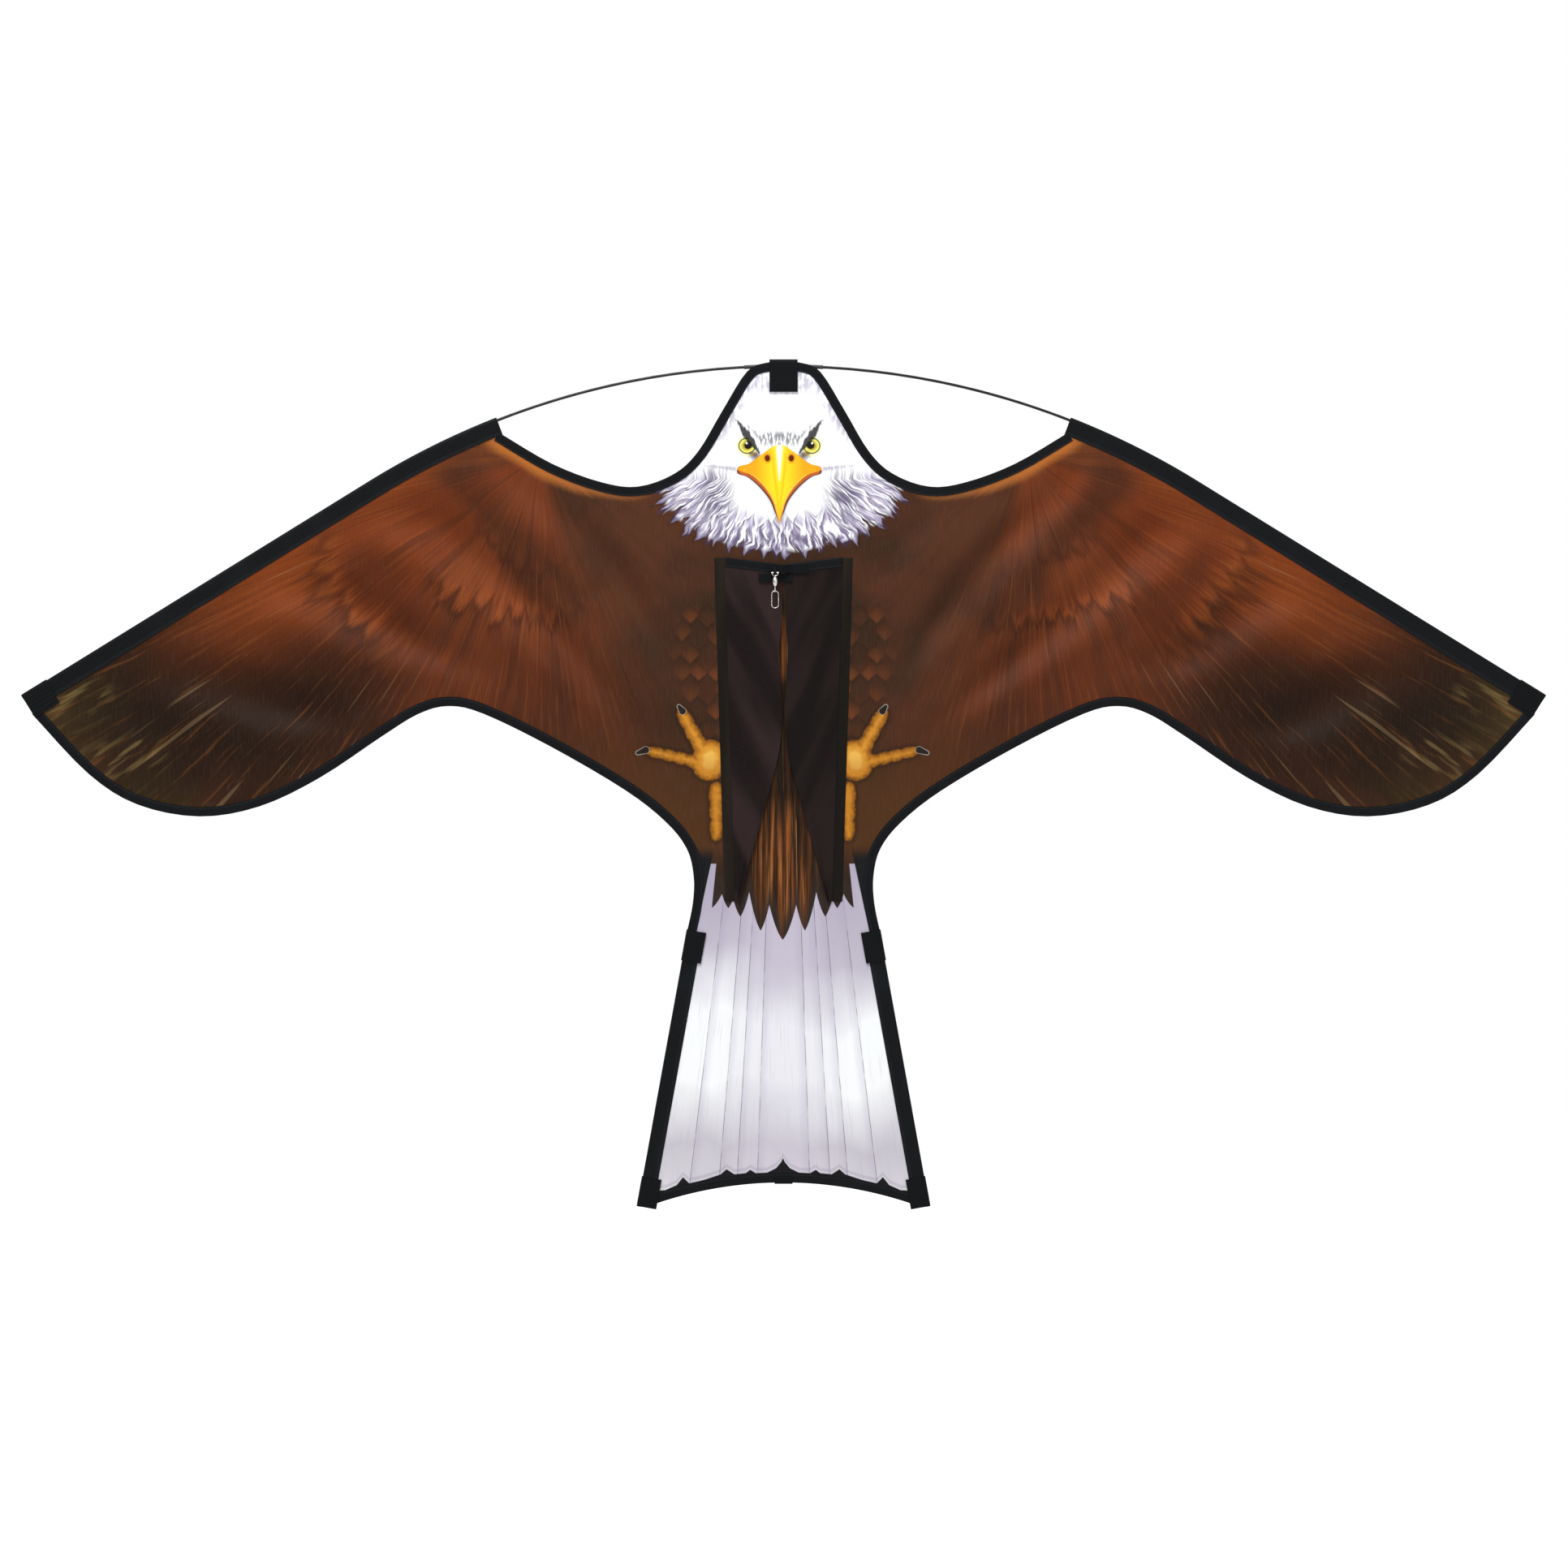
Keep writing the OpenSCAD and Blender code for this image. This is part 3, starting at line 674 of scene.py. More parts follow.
    def belly(self, paint: Tone) -> Tone:
        """Long streaked feathers under and below the keel, with painted shade under the flaps.

        Args:
            paint: colour of the body.

        Returns:
            The colour with the feathers on it.
        """
        board, (x, w) = self.board, self.place
        spread = x / (w * -0.0006 + 0.72)
        streak = board.noise(spread * 0.21, w * 0.0065, 4, 0.62)
        lash = board.noise(spread * 0.55 + 31, w * 0.01, 2)
        feather = board.ramp(streak, [
            (0.3, "1b110b"), (0.46, "38210f"), (0.58, "6a3c1c"), (0.75, "aa6730")])
        feather = feather.blend(lash.rise(0.62, 0.72) * 0.4, "b98554")
        feather = feather.blend((x + 0.7).magnitude().rise(12, 36) * 0.85, "1d130d")
        window = w.within(-284, -268, -228, -212)
        # Painted shade under and between the keel flaps, darkest at the top; the window keeps it off a
        # rust lens seen through the slit.
        painted_keel_shade = w.rise(-414, -374) * (1 - window * 0.85)
        feather = feather.blend(painted_keel_shade * 0.88, "120c08")
        narrow = w.rise(-440, -380) * 26
        zone = ((x + 0.7).magnitude() + narrow).fall(34, 56) * w.fall(-215, -185)
        return paint.blend(zone, feather)

    def fan_tips(self, side: Tone) -> Tone:
        """Depth inside the pointed body feathers that lie over the tail.

        Args:
            side: distance from the middle.

        Returns:
            Distance above the nearest feather's edge, below zero outside.
        """
        depths = []
        for middle, half, tip, top in ((0, 10.4, -508, -483), (19.6, 10.6, -500, -463),
                                       (37.6, 9, -487.5, -461), (48.2, 6.4, -480, -465),
                                       (62.5, 11, -479.5, -462)):
            share = (side - middle).magnitude() / half
            edge = (share * share * 0.55 + share * 0.45) * (top - tip)
            depths.append(self.place[1] - tip - edge)
        return highest(depths)

    def tail(self, paint: Tone) -> Tone:
        """White tail fan below the pointed body feathers.

        Args:
            paint: colour of the body.

        Returns:
            The colour with the tail on it.
        """
        board, (x, w) = self.board, self.place
        half = w * -0.1813 - 5.4
        fan = x / half
        side = (x + 0.7).magnitude()
        cloud = board.noise(x * 0.012 + 3, w * 0.008, 2)
        drop = (w * -1 - 430) * (1 / 310) + (cloud - 0.5) * 0.25
        white = board.ramp(drop, [(0.06, "a099ab"), (0.28, "b3adbb"), (0.46, "e6e8ea"), (0.66, "e6e8e9"),
                                  (0.84, "b9b5bd"), (1, "cecbd1")])
        # Painted shade down the middle of the tail, so its sides stay lighter as painted highlights.
        white = white.blend(fan.magnitude().fall(0.1, 0.6) * 0.35, "c0bac9")
        barb = board.noise(fan * 60, w * 0.02, 3)
        white = white.blend(barb.rise(0.55, 0.8) * 0.25, "a79fb8")
        broken = board.noise(fan * 4, w * 0.06, 2).rise(0.3, 0.55)
        beside = [(fan.magnitude() - vane) * half for vane in (0.185, 0.33, 0.455, 0.66, 0.94)]
        line = reduce(Tone.at_most, (gap.magnitude() for gap in beside))
        shadow = highest(gap.within(-9, 0, 0, 0.3) for gap in beside)
        white = white.blend(shadow * 0.26, "9d94ad")
        white = white.blend(line.fall(0.12, 0.5) * (broken * 0.5 + 0.15), "463f4c")
        rim = board.curve((x + 0.5).magnitude(), [
            (0, -701), (1.5, -704.5), (6, -710), (14, -714), (24, -714.5), (29, -711.5),
            (33, -714.5), (43, -715.5), (50, -711), (55, -715.5), (70, -720.5), (83, -723.5),
            (88.5, -718), (94, -725), (104, -729.5), (120, -730.5), (140, -731)], sharp=True)
        white = white.blend((w - rim - 3.2).magnitude().fall(0.3, 2.4) * 0.3, "7c7486")
        white = white.blend((w - rim).fall(-0.4, 0.4), "131416")
        lip = w * -0.102 + 13.95
        hem = w * -0.216 - 31.6
        depth = self.fan_tips(side)
        paint = paint.blend(side.rise(20, 40) * w.fall(-450, -420) * 0.8, "231a15")
        paint = paint.blend(depth.fall(3, 30) * w.fall(-452, -436) * 0.85, "2b231f")
        show = (depth * -1).at_least(side - lip).rise(-0.4, 0.4) * w.fall(-441.2, -440.2)
        paint = paint.blend(show, white)
        tape = (side - hem).rise(-0.4, 0.4) * w.fall(-438, -424)
        return paint.blend(tape * w.rise(-560, -559), "131416")

    def feet(self, paint: Tone) -> Tone:
        """Yellow feet with dark claws, on both sides of the keel.

        Args:
            paint: colour of the body.

        Returns:
            The colour with the feet on it.
        """
        board, (x, w) = self.board, self.place
        side = (x + 1).magnitude()
        grain = board.noise(x * 0.3, w * 0.3, 3)
        limbs = [((64, -346), (65, -352), 16, 0), ((70, -341), (88.5, -308), 7, 3),
                 ((74, -351), (117, -341), 5.8, 4), ((58.5, -374), (58.5, -416), 6.6, 3)]
        depths = []
        for start, end, girth, rings in limbs:
            gap, share = self.stroke(side, start, end)
            knuckle = (share * (rings * HALF_TURN)).sine().magnitude() * (1 if rings else 0)
            taper = share * (1.2 if rings else 0)
            depths.append(knuckle + girth - taper - gap + (grain - 0.5) * 0.4 - 0.6)
        inside = highest(depths)
        paint = paint.blend(inside.rise(-5, 0) * 0.5, "20140c")
        flesh = board.ramp(inside * 0.09 + (grain - 0.5) * 0.35, [
            (0, "56340f"), (0.2, "8f5a1a"), (0.48, "b87a26"), (0.82, "c98f36"), (1, "d6a64e")])
        flesh = flesh.blend((w + 350).fall(-14, 10) * inside.rise(3, 9) * 0.55, "9c5f1a")
        paint = paint.blend(inside.rise(-0.5, 0.5), flesh)
        for tip, bend in (((91.5, -301.5), (88.5, -305.5)), ((128, -342.5), (121, -340))):
            gap, share = self.stroke(side, bend, tip)
            paint = paint.blend((gap + share * 1.2).fall(3.1, 3.6), "8f8a82")
            paint = paint.blend((gap + share * 1.5).fall(2.7, 3.3), "201a17")
        return paint

    def head(self, paint: Tone) -> Tone:
        """White head with a ruff of pointed feathers.

        Args:
            paint: colour of the body.

        Returns:
            The colour with the head on it.
        """
        board, (x, w) = self.board, self.place
        mid, level, wide, tall = self.ruff
        warp = board.noise(x * 0.04, w * 0.04, 2) - 0.5
        out = (x - mid) / wide
        down = ((level - w) / tall).at_least(0)
        run = out.hypot(down) * 100 + warp * 9
        turn = board.math("ARCTAN2", out, down + 0.6) + warp * 0.1
        hair = board.noise(turn * 52, run * 0.045, 4, 0.55)
        lock = board.noise(turn * 20 + 2, run * 0.04, 2)
        rows = [Row(107, 0.092, 24, 0.3, True), Row(101, 0.122, 28, 0.7, True),
                Row(88, 0.115, 28, 0.1, True), Row(74, 0.135, 28, 0.5, True),
                Row(60, 0.16, 24, 0.9, True)]
        shades = ["cdc8d6", "b9b2c5", "b4adc4", "c9c4d5", "dcd9e4"]
        tips = ["5f5672", "8d849f", "e2dfe8", "fbfbfd", "fbfbfd"]
        for i, (row, shade_ink, tip_ink) in enumerate(zip(rows, shades, tips)):
            cover, glow, shade = row.lay(run, turn)
            paint = paint.blend(shade * (0.62 if i else 0.4), "39304a" if i else "2a1d18")
            paint = paint.blend(cover, board.mix(glow, shade_ink, tip_ink))
        low = run.rise(42, 72)
        white = paint.blend(hair.fall(0.3, 0.46) * low * 0.55, "6c6384")
        white = white.blend(hair.rise(0.5, 0.62) * low * 0.7, "ffffff")
        white = white.blend(lock.fall(0.25, 0.45) * run.rise(50, 80) * 0.25, "8f87a3")
        white = white.blend(hair.fall(0.36, 0.58) * down.rise(0.45, 0.85) * 0.8, "5a516e")
        white = white.blend(run.fall(38, 60), "fdfdfe")
        white = white.blend(w.rise(-102, -86), "fbfbfd")
        across, up = (x - self.face_side).magnitude() - 56, w + 112
        jowl = (across * across + up * up * 0.55).root().fall(4, 27)
        white = white.blend(jowl * hair.fall(0.42, 0.66) * 0.9, "524a66")
        paint = paint.blend(run.fall(92, 99) * x.magnitude().fall(112, 116), white)
        edge = board.curve(w, [(-100, 100), (-75.8, 75.9), (-39.5, 54.3), (-5, 32.6), (4, 20)])
        rim = (edge - x.magnitude()).fall(8, 26) * w.rise(-92, -50)
        rim = rim.at_least(w.rise(-34, -16) * 0.8)
        crown = board.noise(x * 0.28, w * 0.09, 3).rise(0.36, 0.6)
        paint = paint.blend(rim * (crown * 0.7 + 0.15), "8f8aa2")
        return self.eyes(paint, (x - self.face_side).magnitude())

    def eyes(self, paint: Tone, side: Tone) -> Tone:
        """Eyes under slanted brows, then the beak.

        Args:
            paint: colour of the head.
            side: distance from the middle of the face.

        Returns:
            The colour with the face on it.
        """
        board, w = self.board, self.place[1]
        tuft = board.noise(side * 0.5, w * 0.14, 3)
        grey = side.fall(13, 24) * w.within(-76, -66, -62, -54)
        paint = paint.blend(grey * tuft.rise(0.3, 0.6) * 0.85, "5d5e64")
        cheek, _ = self.stroke(side, (25, -77.5), (15, -84))
        paint = paint.blend((cheek + tuft * 3).fall(2.5, 8.5) * 0.85, "3a3548")
        gape, run = self.stroke(side, (40, -91), (66, -88))
        paint = paint.blend((gape + run * 2 + tuft * 4).fall(1.8, 6) * 0.6, "6a6480")
        lid = ((w + 48.9) * -18 + (side - 36.9) * 26.5) * (1 / 32.03)
        across, up = side - 28.6, w + 70.6
        eye = (across * across + up * up * 1.15).root()
        open_lid = lid.rise(0.2, 0.8)
        paint = paint.blend(eye.fall(8.6, 12) * open_lid * 0.7, "e6ea96")
        paint = paint.blend(eye.fall(7.2, 8.4) * open_lid, "4a4a30")
        iris = board.mix((eye * 0.14).rise(0.3, 0.95), "8f7f1f", "ebe36f")
        paint = paint.blend(eye.fall(6.2, 7) * open_lid, iris)
        pupil = (side - 27.6).hypot(w + 70.2)
        paint = paint.blend(pupil.fall(3, 3.7) * open_lid, "1b1512")
        corner, _ = self.stroke(side, (21.5, -78), (25, -77.5))
        paint = paint.blend(corner.fall(0.8, 2.8) * 0.75, "6a3a2a")
        spark = (side - 28.9).hypot(w + 68.4)
        paint = paint.blend(spark.fall(0.7, 1.2), "ffffff")
        ridge, share = self.stroke(side, (30, -51), (13, -68.5))
        body = (share * HALF_TURN).sine() * 1.8 + (tuft - 0.5) * 8
        paint = paint.blend((ridge - body).fall(-2.2, 0.8) * 0.7, "6a6c74")
        brow, share = self.stroke(side, (37.5, -48), (18, -77))
        body = (share * HALF_TURN).sine() * 2.8 + 0.8 + (tuft - 0.5) * 4
        paint = paint.blend((brow - body).fall(-1.4, 0.9) * 0.95, "17181b")
        return self.beak(paint, side, tuft)

    def beak(self, paint: Tone, side: Tone, tuft: Tone) -> Tone:
        """Hooked yellow beak with its mouth line and nostrils.

        Args:
            paint: colour of the head.
            side: distance from the middle of the face.
            tuft: fine streaks.

        Returns:
            The colour with the beak on it.
        """
        board, w = self.board, self.place[1]
        drop = w * -1
        mouth = board.curve(drop, [(88, -3), (90, 36), (94, 37.5), (98, 29), (103.6, 21.5),
                                   (112, 13.5), (120.6, 7.6), (130, 3.9), (141, -1)])
        hook = board.curve(drop, [(69.6, -3), (70.6, 4.5), (74, 10), (79.8, 17.8), (86.7, 27.6),
                                  (91, 37.4), (93, 35), (96, 26), (103.6, 16.9), (112, 10.1),
                                  (120.6, 5.6), (129, 3.1), (138.8, 0.2), (145, -3)])
        under = board.mix((mouth - side).rise(0.6, 2.6), "4a2a22", "b0582a")
        paint = paint.blend((mouth - side).rise(-4.5, 0.5) * drop.rise(90, 97) * 0.5, "5c5470")
        paint = paint.blend((mouth - side).rise(-0.4, 0.4) * drop.rise(88, 91), under)
        edge = hook - side
        yellow = board.mix(side.rise(3, 24), "f4d023", "ee9f1c")
        yellow = yellow.blend(edge.fall(0.3, 3.4) * drop.rise(76, 92) * 0.8, "d9801a")
        glint = (edge - 1.6).magnitude().fall(0.2, 1)
        yellow = yellow.blend(glint * drop.rise(93, 97) * 0.5, "f9dc6a")
        yellow = yellow.blend(drop.fall(73, 84) * side.rise(4, 9) * 0.55, "e9a52a")
        shine, share = self.stroke(side, (0, -72.5), (0, -101))
        yellow = yellow.blend((shine + share * 2.6).fall(1.4, 4.2) * 0.95, "fffbe2")
        ridge = (side - 5.4 + drop.rise(80, 130) * 4.6).magnitude()
        yellow = yellow.blend(ridge.fall(0.2, 1.8) * drop.rise(74, 84) * 0.4, "e08f17")
        paint = paint.blend(edge.rise(-0.35, 0.35), yellow)
        nostril = (side - 10.6).hypot((w + 81.6) * 0.8) + (tuft - 0.5) * 0.6
        paint = paint.blend(nostril.fall(3, 4.6) * 0.6, "c9701c")
        return paint.blend(nostril.fall(2, 2.7), "5e2308")

    def finish(self) -> Material:
        """Prints the whole figure on plain-woven cloth.

        Returns:
            The material of one face of the sail.
        """
        board, (x, w) = self.board, self.place
        paint, fine = self.wings()
        if self.zone is Zone.TAIL:
            for layer in (self.scales, self.belly, self.feet, self.tail):
                paint = layer(paint)
        else:
            paint = self.neck_strip(paint, fine)
        if self.zone is Zone.HEAD:
            paint = self.head(paint)
        weave = (x * 9.5).sine() * (w * 9.5).sine()
        slub = board.noise(x * 0.9, w * 0.06, 2)
        paint = paint.blend(slub.rise(0.4, 0.8) * 0.025, "8d8781")
        if self.face is Face.BACK:
            paint = paint.blend(self.face.value, "8c8076")
        return board.finish(paint, slub * 0.12 + 0.5, weave * 0.5 + slub, 0.025,
                            Specular_IOR_Level=0.05)


@dataclass(frozen=True)
class TapeFinish:
    """Black polyester tape with a fine rib and a row of stitches near each edge."""

    name: str = "black_tape"
    shade: str = "07080a"
    light: str = "14161a"
    stitch_at: tuple[float, ...] = (1.4,)
    rib: float = 0.55
    stitch: float = 2.6

    def finish(self) -> Material:
        """Mixes the finish.

        Returns:
            The material.
        """
        board = Board(self.name)
        along, across = board.cloth_uv()
        x, _, w = board.place()
        fleck = board.noise(x * 0.7, w * 0.7, 3)
        wear = board.noise(x * 0.03, w * 0.03, 2)
        rib = ((along * (TURN / self.rib)).sine() + (across * (TURN / self.rib) * 1.3).sine()) * 0.25
        share = fleck.rise(0.35, 0.75) * 0.35 + wear.rise(0.5, 0.8) * 0.25
        dash = ((along / self.stitch).fract() - 0.5).magnitude().fall(0.3, 0.42)
        beside = [(across - row).magnitude() for row in self.stitch_at]
        thread = highest(gap.fall(0.16, 0.34) * dash for gap in beside)
        groove = highest(gap.fall(0.2, 1.3) for gap in beside)
        paint = board.mix(share, self.shade, self.light).blend(thread * 0.8, "23262a")
        height = rib * 0.25 + thread * 1.6 - groove * 1.4
        return board.finish(paint, fleck * 0.15 + 0.48, height, 0.12, Specular_IOR_Level=0.07)


@dataclass(frozen=True)
class WebbingFinish:
    """Black woven webbing with a herringbone of coarse ribs."""

    name: str = "black_webbing"
    shade: str = "060708"
    light: str = "15171a"
    pitch: float = 1.5
    weft: float = 0.7

    def finish(self) -> Material:
        """Mixes the finish.

        Returns:
            The material.
        """
        board = Board(self.name)
        along, across = board.cloth_uv()
        x, _, w = board.place()
        fleck = board.noise(x * 1.1, w * 1.1, 3)
        bone = 2.4 * self.pitch
        zig = ((across / bone).fract() - 0.5).magnitude() * bone
        rib = ((along + zig) * (TURN / self.pitch)).sine()
        pick = (across * (TURN / self.weft)).sine()
        share = rib.rise(-0.4, 1) * 0.35 + fleck.rise(0.45, 0.8) * 0.25
        paint = board.mix(share, self.shade, self.light)
        height = rib * 0.7 + pick * 0.2
        return board.finish(paint, fleck * 0.12 + 0.55, height, 0.1, Specular_IOR_Level=0.06)


@dataclass(frozen=True)
class KeelFinish:
    """Dark brown lining cloth of one keel flap or hem, with broad bands of painted fold highlight and
    shade.
    """

    name: str
    shade: str
    light: str
    lean: float = 0

    def finish(self) -> Material:
        """Mixes the finish.

        Returns:
            The material.
        """
        board = Board(self.name)
        x, _, w = board.place()
        # Broad soft bands of painted fold highlight and shade; lean slants them.
        cloud = board.noise(x * 0.024 + w * 0.011 * self.lean, w * 0.004, 2)
        slub = board.noise(x * 0.15, w * 1.1, 3)
        weave = (x * 8.5).sine() * (w * 8.5).sine()
        share = cloud.rise(0.4, 0.62) * 0.8 + slub.rise(0.45, 0.8) * 0.2
        paint = board.mix(share, self.shade, self.light)
        return board.finish(paint, slub * 0.15 + 0.45, weave * 0.5 + slub, 0.03, Specular_IOR_Level=0.07)


@dataclass(frozen=True)
class FibreFinish:
    """Pultruded glass-fibre rod, black with faint streaks."""

    name: str = "glass_fibre_rod"

    def finish(self) -> Material:
        """Mixes the finish.

        Returns:
            The material.
        """
        board = Board(self.name)
        x, y, w = board.place()
        streak = board.noise(x * 0.12 + y * 3, w * 0.12 + y * 2, 3, 0.6)
        fleck = board.noise(x * 2.2, w * 2.2, 2)
        paint = board.mix(streak.rise(0.35, 0.7), "0a0a0b", "141415")
        paint = paint.blend(fleck.rise(0.6, 0.75) * 0.3, "232324")
        height = streak + fleck * 0.5
        return board.finish(paint, streak * 0.2 + 0.28, height, 0.02, Specular_IOR_Level=0.2)


@dataclass(frozen=True)
class CapFinish:
    """Soft black vinyl of the rod end caps."""

    name: str = "black_vinyl"

    def finish(self) -> Material:
        """Mixes the finish.

        Returns:
            The material.
        """
        board = Board(self.name)
        x, y, w = board.place()
        grain = board.noise(x * 2 + y, w * 2 + y, 4, 0.6)
        paint = board.mix(grain.rise(0.4, 0.8), "111112", "242426")
        return board.finish(paint, grain * 0.2 + 0.5, grain, 0.03, Specular_IOR_Level=0.45)


@dataclass(frozen=True)
class FerruleFinish:
    """Black anodised tube, lightly scratched along its length."""

    name: str = "drawn_tube"

    def finish(self) -> Material:
        """Mixes the finish.

        Returns:
            The material.
        """
        board = Board(self.name)
        x, y, w = board.place()
        scratch = board.noise(x * 0.15, w * 5 + y * 5, 4, 0.65)
        paint = board.mix(scratch.rise(0.3, 0.7), "191a1b", "2c2d2f")
        return board.finish(paint, scratch * 0.25 + 0.35, scratch, 0.01, Specular_IOR_Level=0.3)


@dataclass(frozen=True)
class NickelFinish:
    """Bright nickel plate, darker in soft patches that follow a noise."""

    name: str = "nickel_plate"

    def finish(self) -> Material:
        """Mixes the finish.

        Returns:
            The material.
        """
        board = Board(self.name)
        x, y, w = board.place()
        haze = board.noise(x * 0.9 + y * 0.7, w * 0.9 - y * 0.4, 3)
        fine = board.noise(x * 6 + y * 4, w * 6, 2)
        paint = board.mix(haze.rise(0.35, 0.75), "c2beb6", "857f76")
        return board.finish(paint, haze * 0.16 + 0.12, fine, 0.008, Metallic=1)


def drawn(points: Sequence[Sequence[float]], steps: int) -> Points:
    """A smooth line through a list of points.

    Args:
        points: the points.
        steps: steps between two of them.

    Returns:
        The points of the line.
    """
    p = np.asarray(points, float)
    line = []
    for i in range(len(p) - 1):
        a, b, c, d = p[max(i - 1, 0)], p[i], p[i + 1], p[min(i + 2, len(p) - 1)]
        for t in np.arange(steps) / steps:
            bend = 2 * a - 5 * b + 4 * c - d + t * (3 * (b - c) + d - a)
            line.append(b + t / 2 * (c - a + t * bend))
    return np.array(line + [p[-1]])


def left_of(line: Points) -> Points:
    """Looks to the left along a line.

    Args:
        line: flat points of the line.

    Returns:
        A unit vector for each point, to the left of the line's direction.
    """
    heading = np.empty_like(line)
    heading[1:-1] = line[2:] - line[:-2]
    heading[0] = line[1] - line[0]
    heading[-1] = line[-1] - line[-2]
    heading /= np.linalg.norm(heading, axis=1, keepdims=True)
    return np.stack([-heading[:, 1], heading[:, 0]], axis=1)


def lengths(line: Points) -> Points:
    """Length along a line at each of its points."""
    return np.concatenate([[0.0], np.cumsum(np.linalg.norm(np.diff(line, axis=0), axis=1))])


def spaced(line: Points, step: float) -> Points:
    """The same line with even steps.

    Args:
        line: points of a line.
        step: length of a step.

    Returns:
        Points at that spacing.
    """
    run = lengths(line)
    spots = np.linspace(0.0, run[-1], max(int(run[-1] / step), 2) + 1)
    return np.stack([np.interp(spots, run, line[:, k]) for k in range(line.shape[1])], axis=1)


def standing(flat: Points) -> Points:
    """Flat points on the sail's plane as points in space."""
    return np.stack([flat[..., 0], np.zeros_like(flat[..., 0]), flat[..., 1]], axis=-1)


def even_rail(axis: int, low: float, high: float, count: int,
              base: Sequence[float] = (0.0, 0.0, 0.0)) -> Points:
    """Evenly spaced points on a straight line.

    Args:
        axis: the axis that it runs along.
        low: where it starts, counted from the base.
        high: where it ends.
        count: how many points it has.
        base: the point that it is counted from.

    Returns:
        The points.
    """
    line = np.tile(np.array(base, float), (count, 1))
    line[:, axis] += np.linspace(low, high, count)
    return line


def ease_down(share: float) -> float:
    """A soft slope from 1 down to 0."""
    return (1 + math.cos(math.pi * share)) / 2


def smooth_step(values: Points, start: float = 0.0, width: float = 1.0) -> Points:
    """A smooth step from 0 to 1.

    Args:
        values: the numbers that it is read at.
        start: where it is still nothing.
        width: how far on it has reached one.

    Returns:
        The step at each number.
    """
    s = np.clip((values - start) / width, 0.0, 1.0)
    return s * s * (3 - 2 * s)


class Bench:
    """Hand tools that shape a mesh."""

    @staticmethod
    def grid(name: str, rows: int, columns: int) -> tuple[Piece, Points, Points]:
        """Adds a flat grid to shape a piece from.

        Args:
            name: the piece's name.
            rows: lines of points along it.
            columns: points in a line.

        Returns:
            The object, and the row and the column of each of its points.
        """
        bpy.ops.object.select_all(action="DESELECT")
        bpy.ops.mesh.primitive_grid_add(x_subdivisions=columns - 1, y_subdivisions=rows - 1, size=1.0)
        piece = bpy.context.object
        piece.name = name
        piece.data.name = name
        place = np.empty(len(piece.data.vertices) * 3)
        piece.data.vertices.foreach_get("co", place)
        place = place.reshape(-1, 3)
        row = np.rint((place[:, 1] + 0.5) * (rows - 1)).astype(int)
        column = np.rint((place[:, 0] + 0.5) * (columns - 1)).astype(int)
        return piece, row, column

    @staticmethod
    def wrap(piece: Piece, points: Points, uv: Points) -> None:
        """Moves a grid's points to their places on the kite.

        Args:
            piece: the grid.
            points: a place for each point, in millimetres from the top of the spar.
            uv: a place on the cloth for each point, in millimetres.
        """
        seat = (points + np.array([TOW_SIDE, TOW_STAND_OFF, TOW_DROP])) * MM
        piece.data.vertices.foreach_set("co", seat.ravel())
        corner = np.empty(len(piece.data.loops), int)
        piece.data.loops.foreach_get("vertex_index", corner)
        piece.data.uv_layers["UVMap"].data.foreach_set("uv", (uv[corner] * MM).ravel())
        piece.data.update()

    @classmethod
    def swept(cls, name: str, rail: Points, side: Points | Sequence[float],
              profile: Points) -> Piece:
        """Wraps cloth along a line.

        Args:
            name: the piece's name.
            rail: points of the line.
            side: direction of the section's first axis, at each point or for all of them.
            profile: points of the section, across and back.

        Returns:
            The open cloth, without thickness.
        """
        piece, row, column = cls.grid(name, len(rail), len(profile))
        points = rail[row] + np.broadcast_to(side, rail.shape)[row] * profile[column, :1]
        points[:, 1] += profile[column, 1]
        cls.wrap(piece, points, np.stack([lengths(rail)[row], lengths(profile)[column]], axis=1))
        return piece

    @staticmethod
    def pick(piece: Piece, chosen: Points) -> None:
        """Starts an edit of some of the points of the active piece.

        Args:
            piece: the active piece.
            chosen: whether each point is selected.
        """
        bpy.context.tool_settings.mesh_select_mode = (True, False, False)
        bpy.ops.object.mode_set(mode="EDIT")
        bpy.ops.mesh.select_all(action="DESELECT")
        bpy.ops.object.mode_set(mode="OBJECT")
        piece.data.vertices.foreach_set("select", chosen)
        bpy.ops.object.mode_set(mode="EDIT")

    @classmethod
    def close_end(cls, piece: Piece, row: int, columns: int, chosen: Sequence[int]) -> None:
        """Fills part of an end line with a wall.

        Args:
            piece: swept cloth.
            row: the line of points that is closed.
            columns: points in a line.
            chosen: the columns that the wall joins.
        """
        wall = np.zeros(len(piece.data.vertices), bool)
        wall[row * columns + np.array(chosen)] = True
        cls.pick(piece, wall)
        bpy.ops.mesh.edge_face_add()
        bpy.ops.mesh.select_all(action="SELECT")
        bpy.ops.mesh.normals_make_consistent(inside=False)
        bpy.ops.object.mode_set(mode="OBJECT")

    @staticmethod
    def take(*pieces: Piece) -> None:
        """Selects pieces and nothing else, with the first of them active."""
        bpy.ops.object.select_all(action="DESELECT")
        for piece in pieces:
            piece.select_set(True)
        bpy.context.view_layer.objects.active = pieces[0]

    @classmethod
    def thicken(cls, piece: Piece, thickness: float, back: int = 0) -> None:
        """Gives cloth its thickness and soft shading.

        Args:
            piece: open cloth.
            thickness: in millimetres, half on each side.
            back: how many materials further on the back face's are.
        """
        cls.take(piece)
        wall = piece.modifiers.new("cloth", "SOLIDIFY")
        wall.thickness = thickness * MM
        wall.offset = 0.0
        wall.material_offset = back
        bpy.ops.object.modifier_apply(modifier=wall.name)
        bpy.ops.object.shade_smooth_by_angle(angle=SOFT_ANGLE)

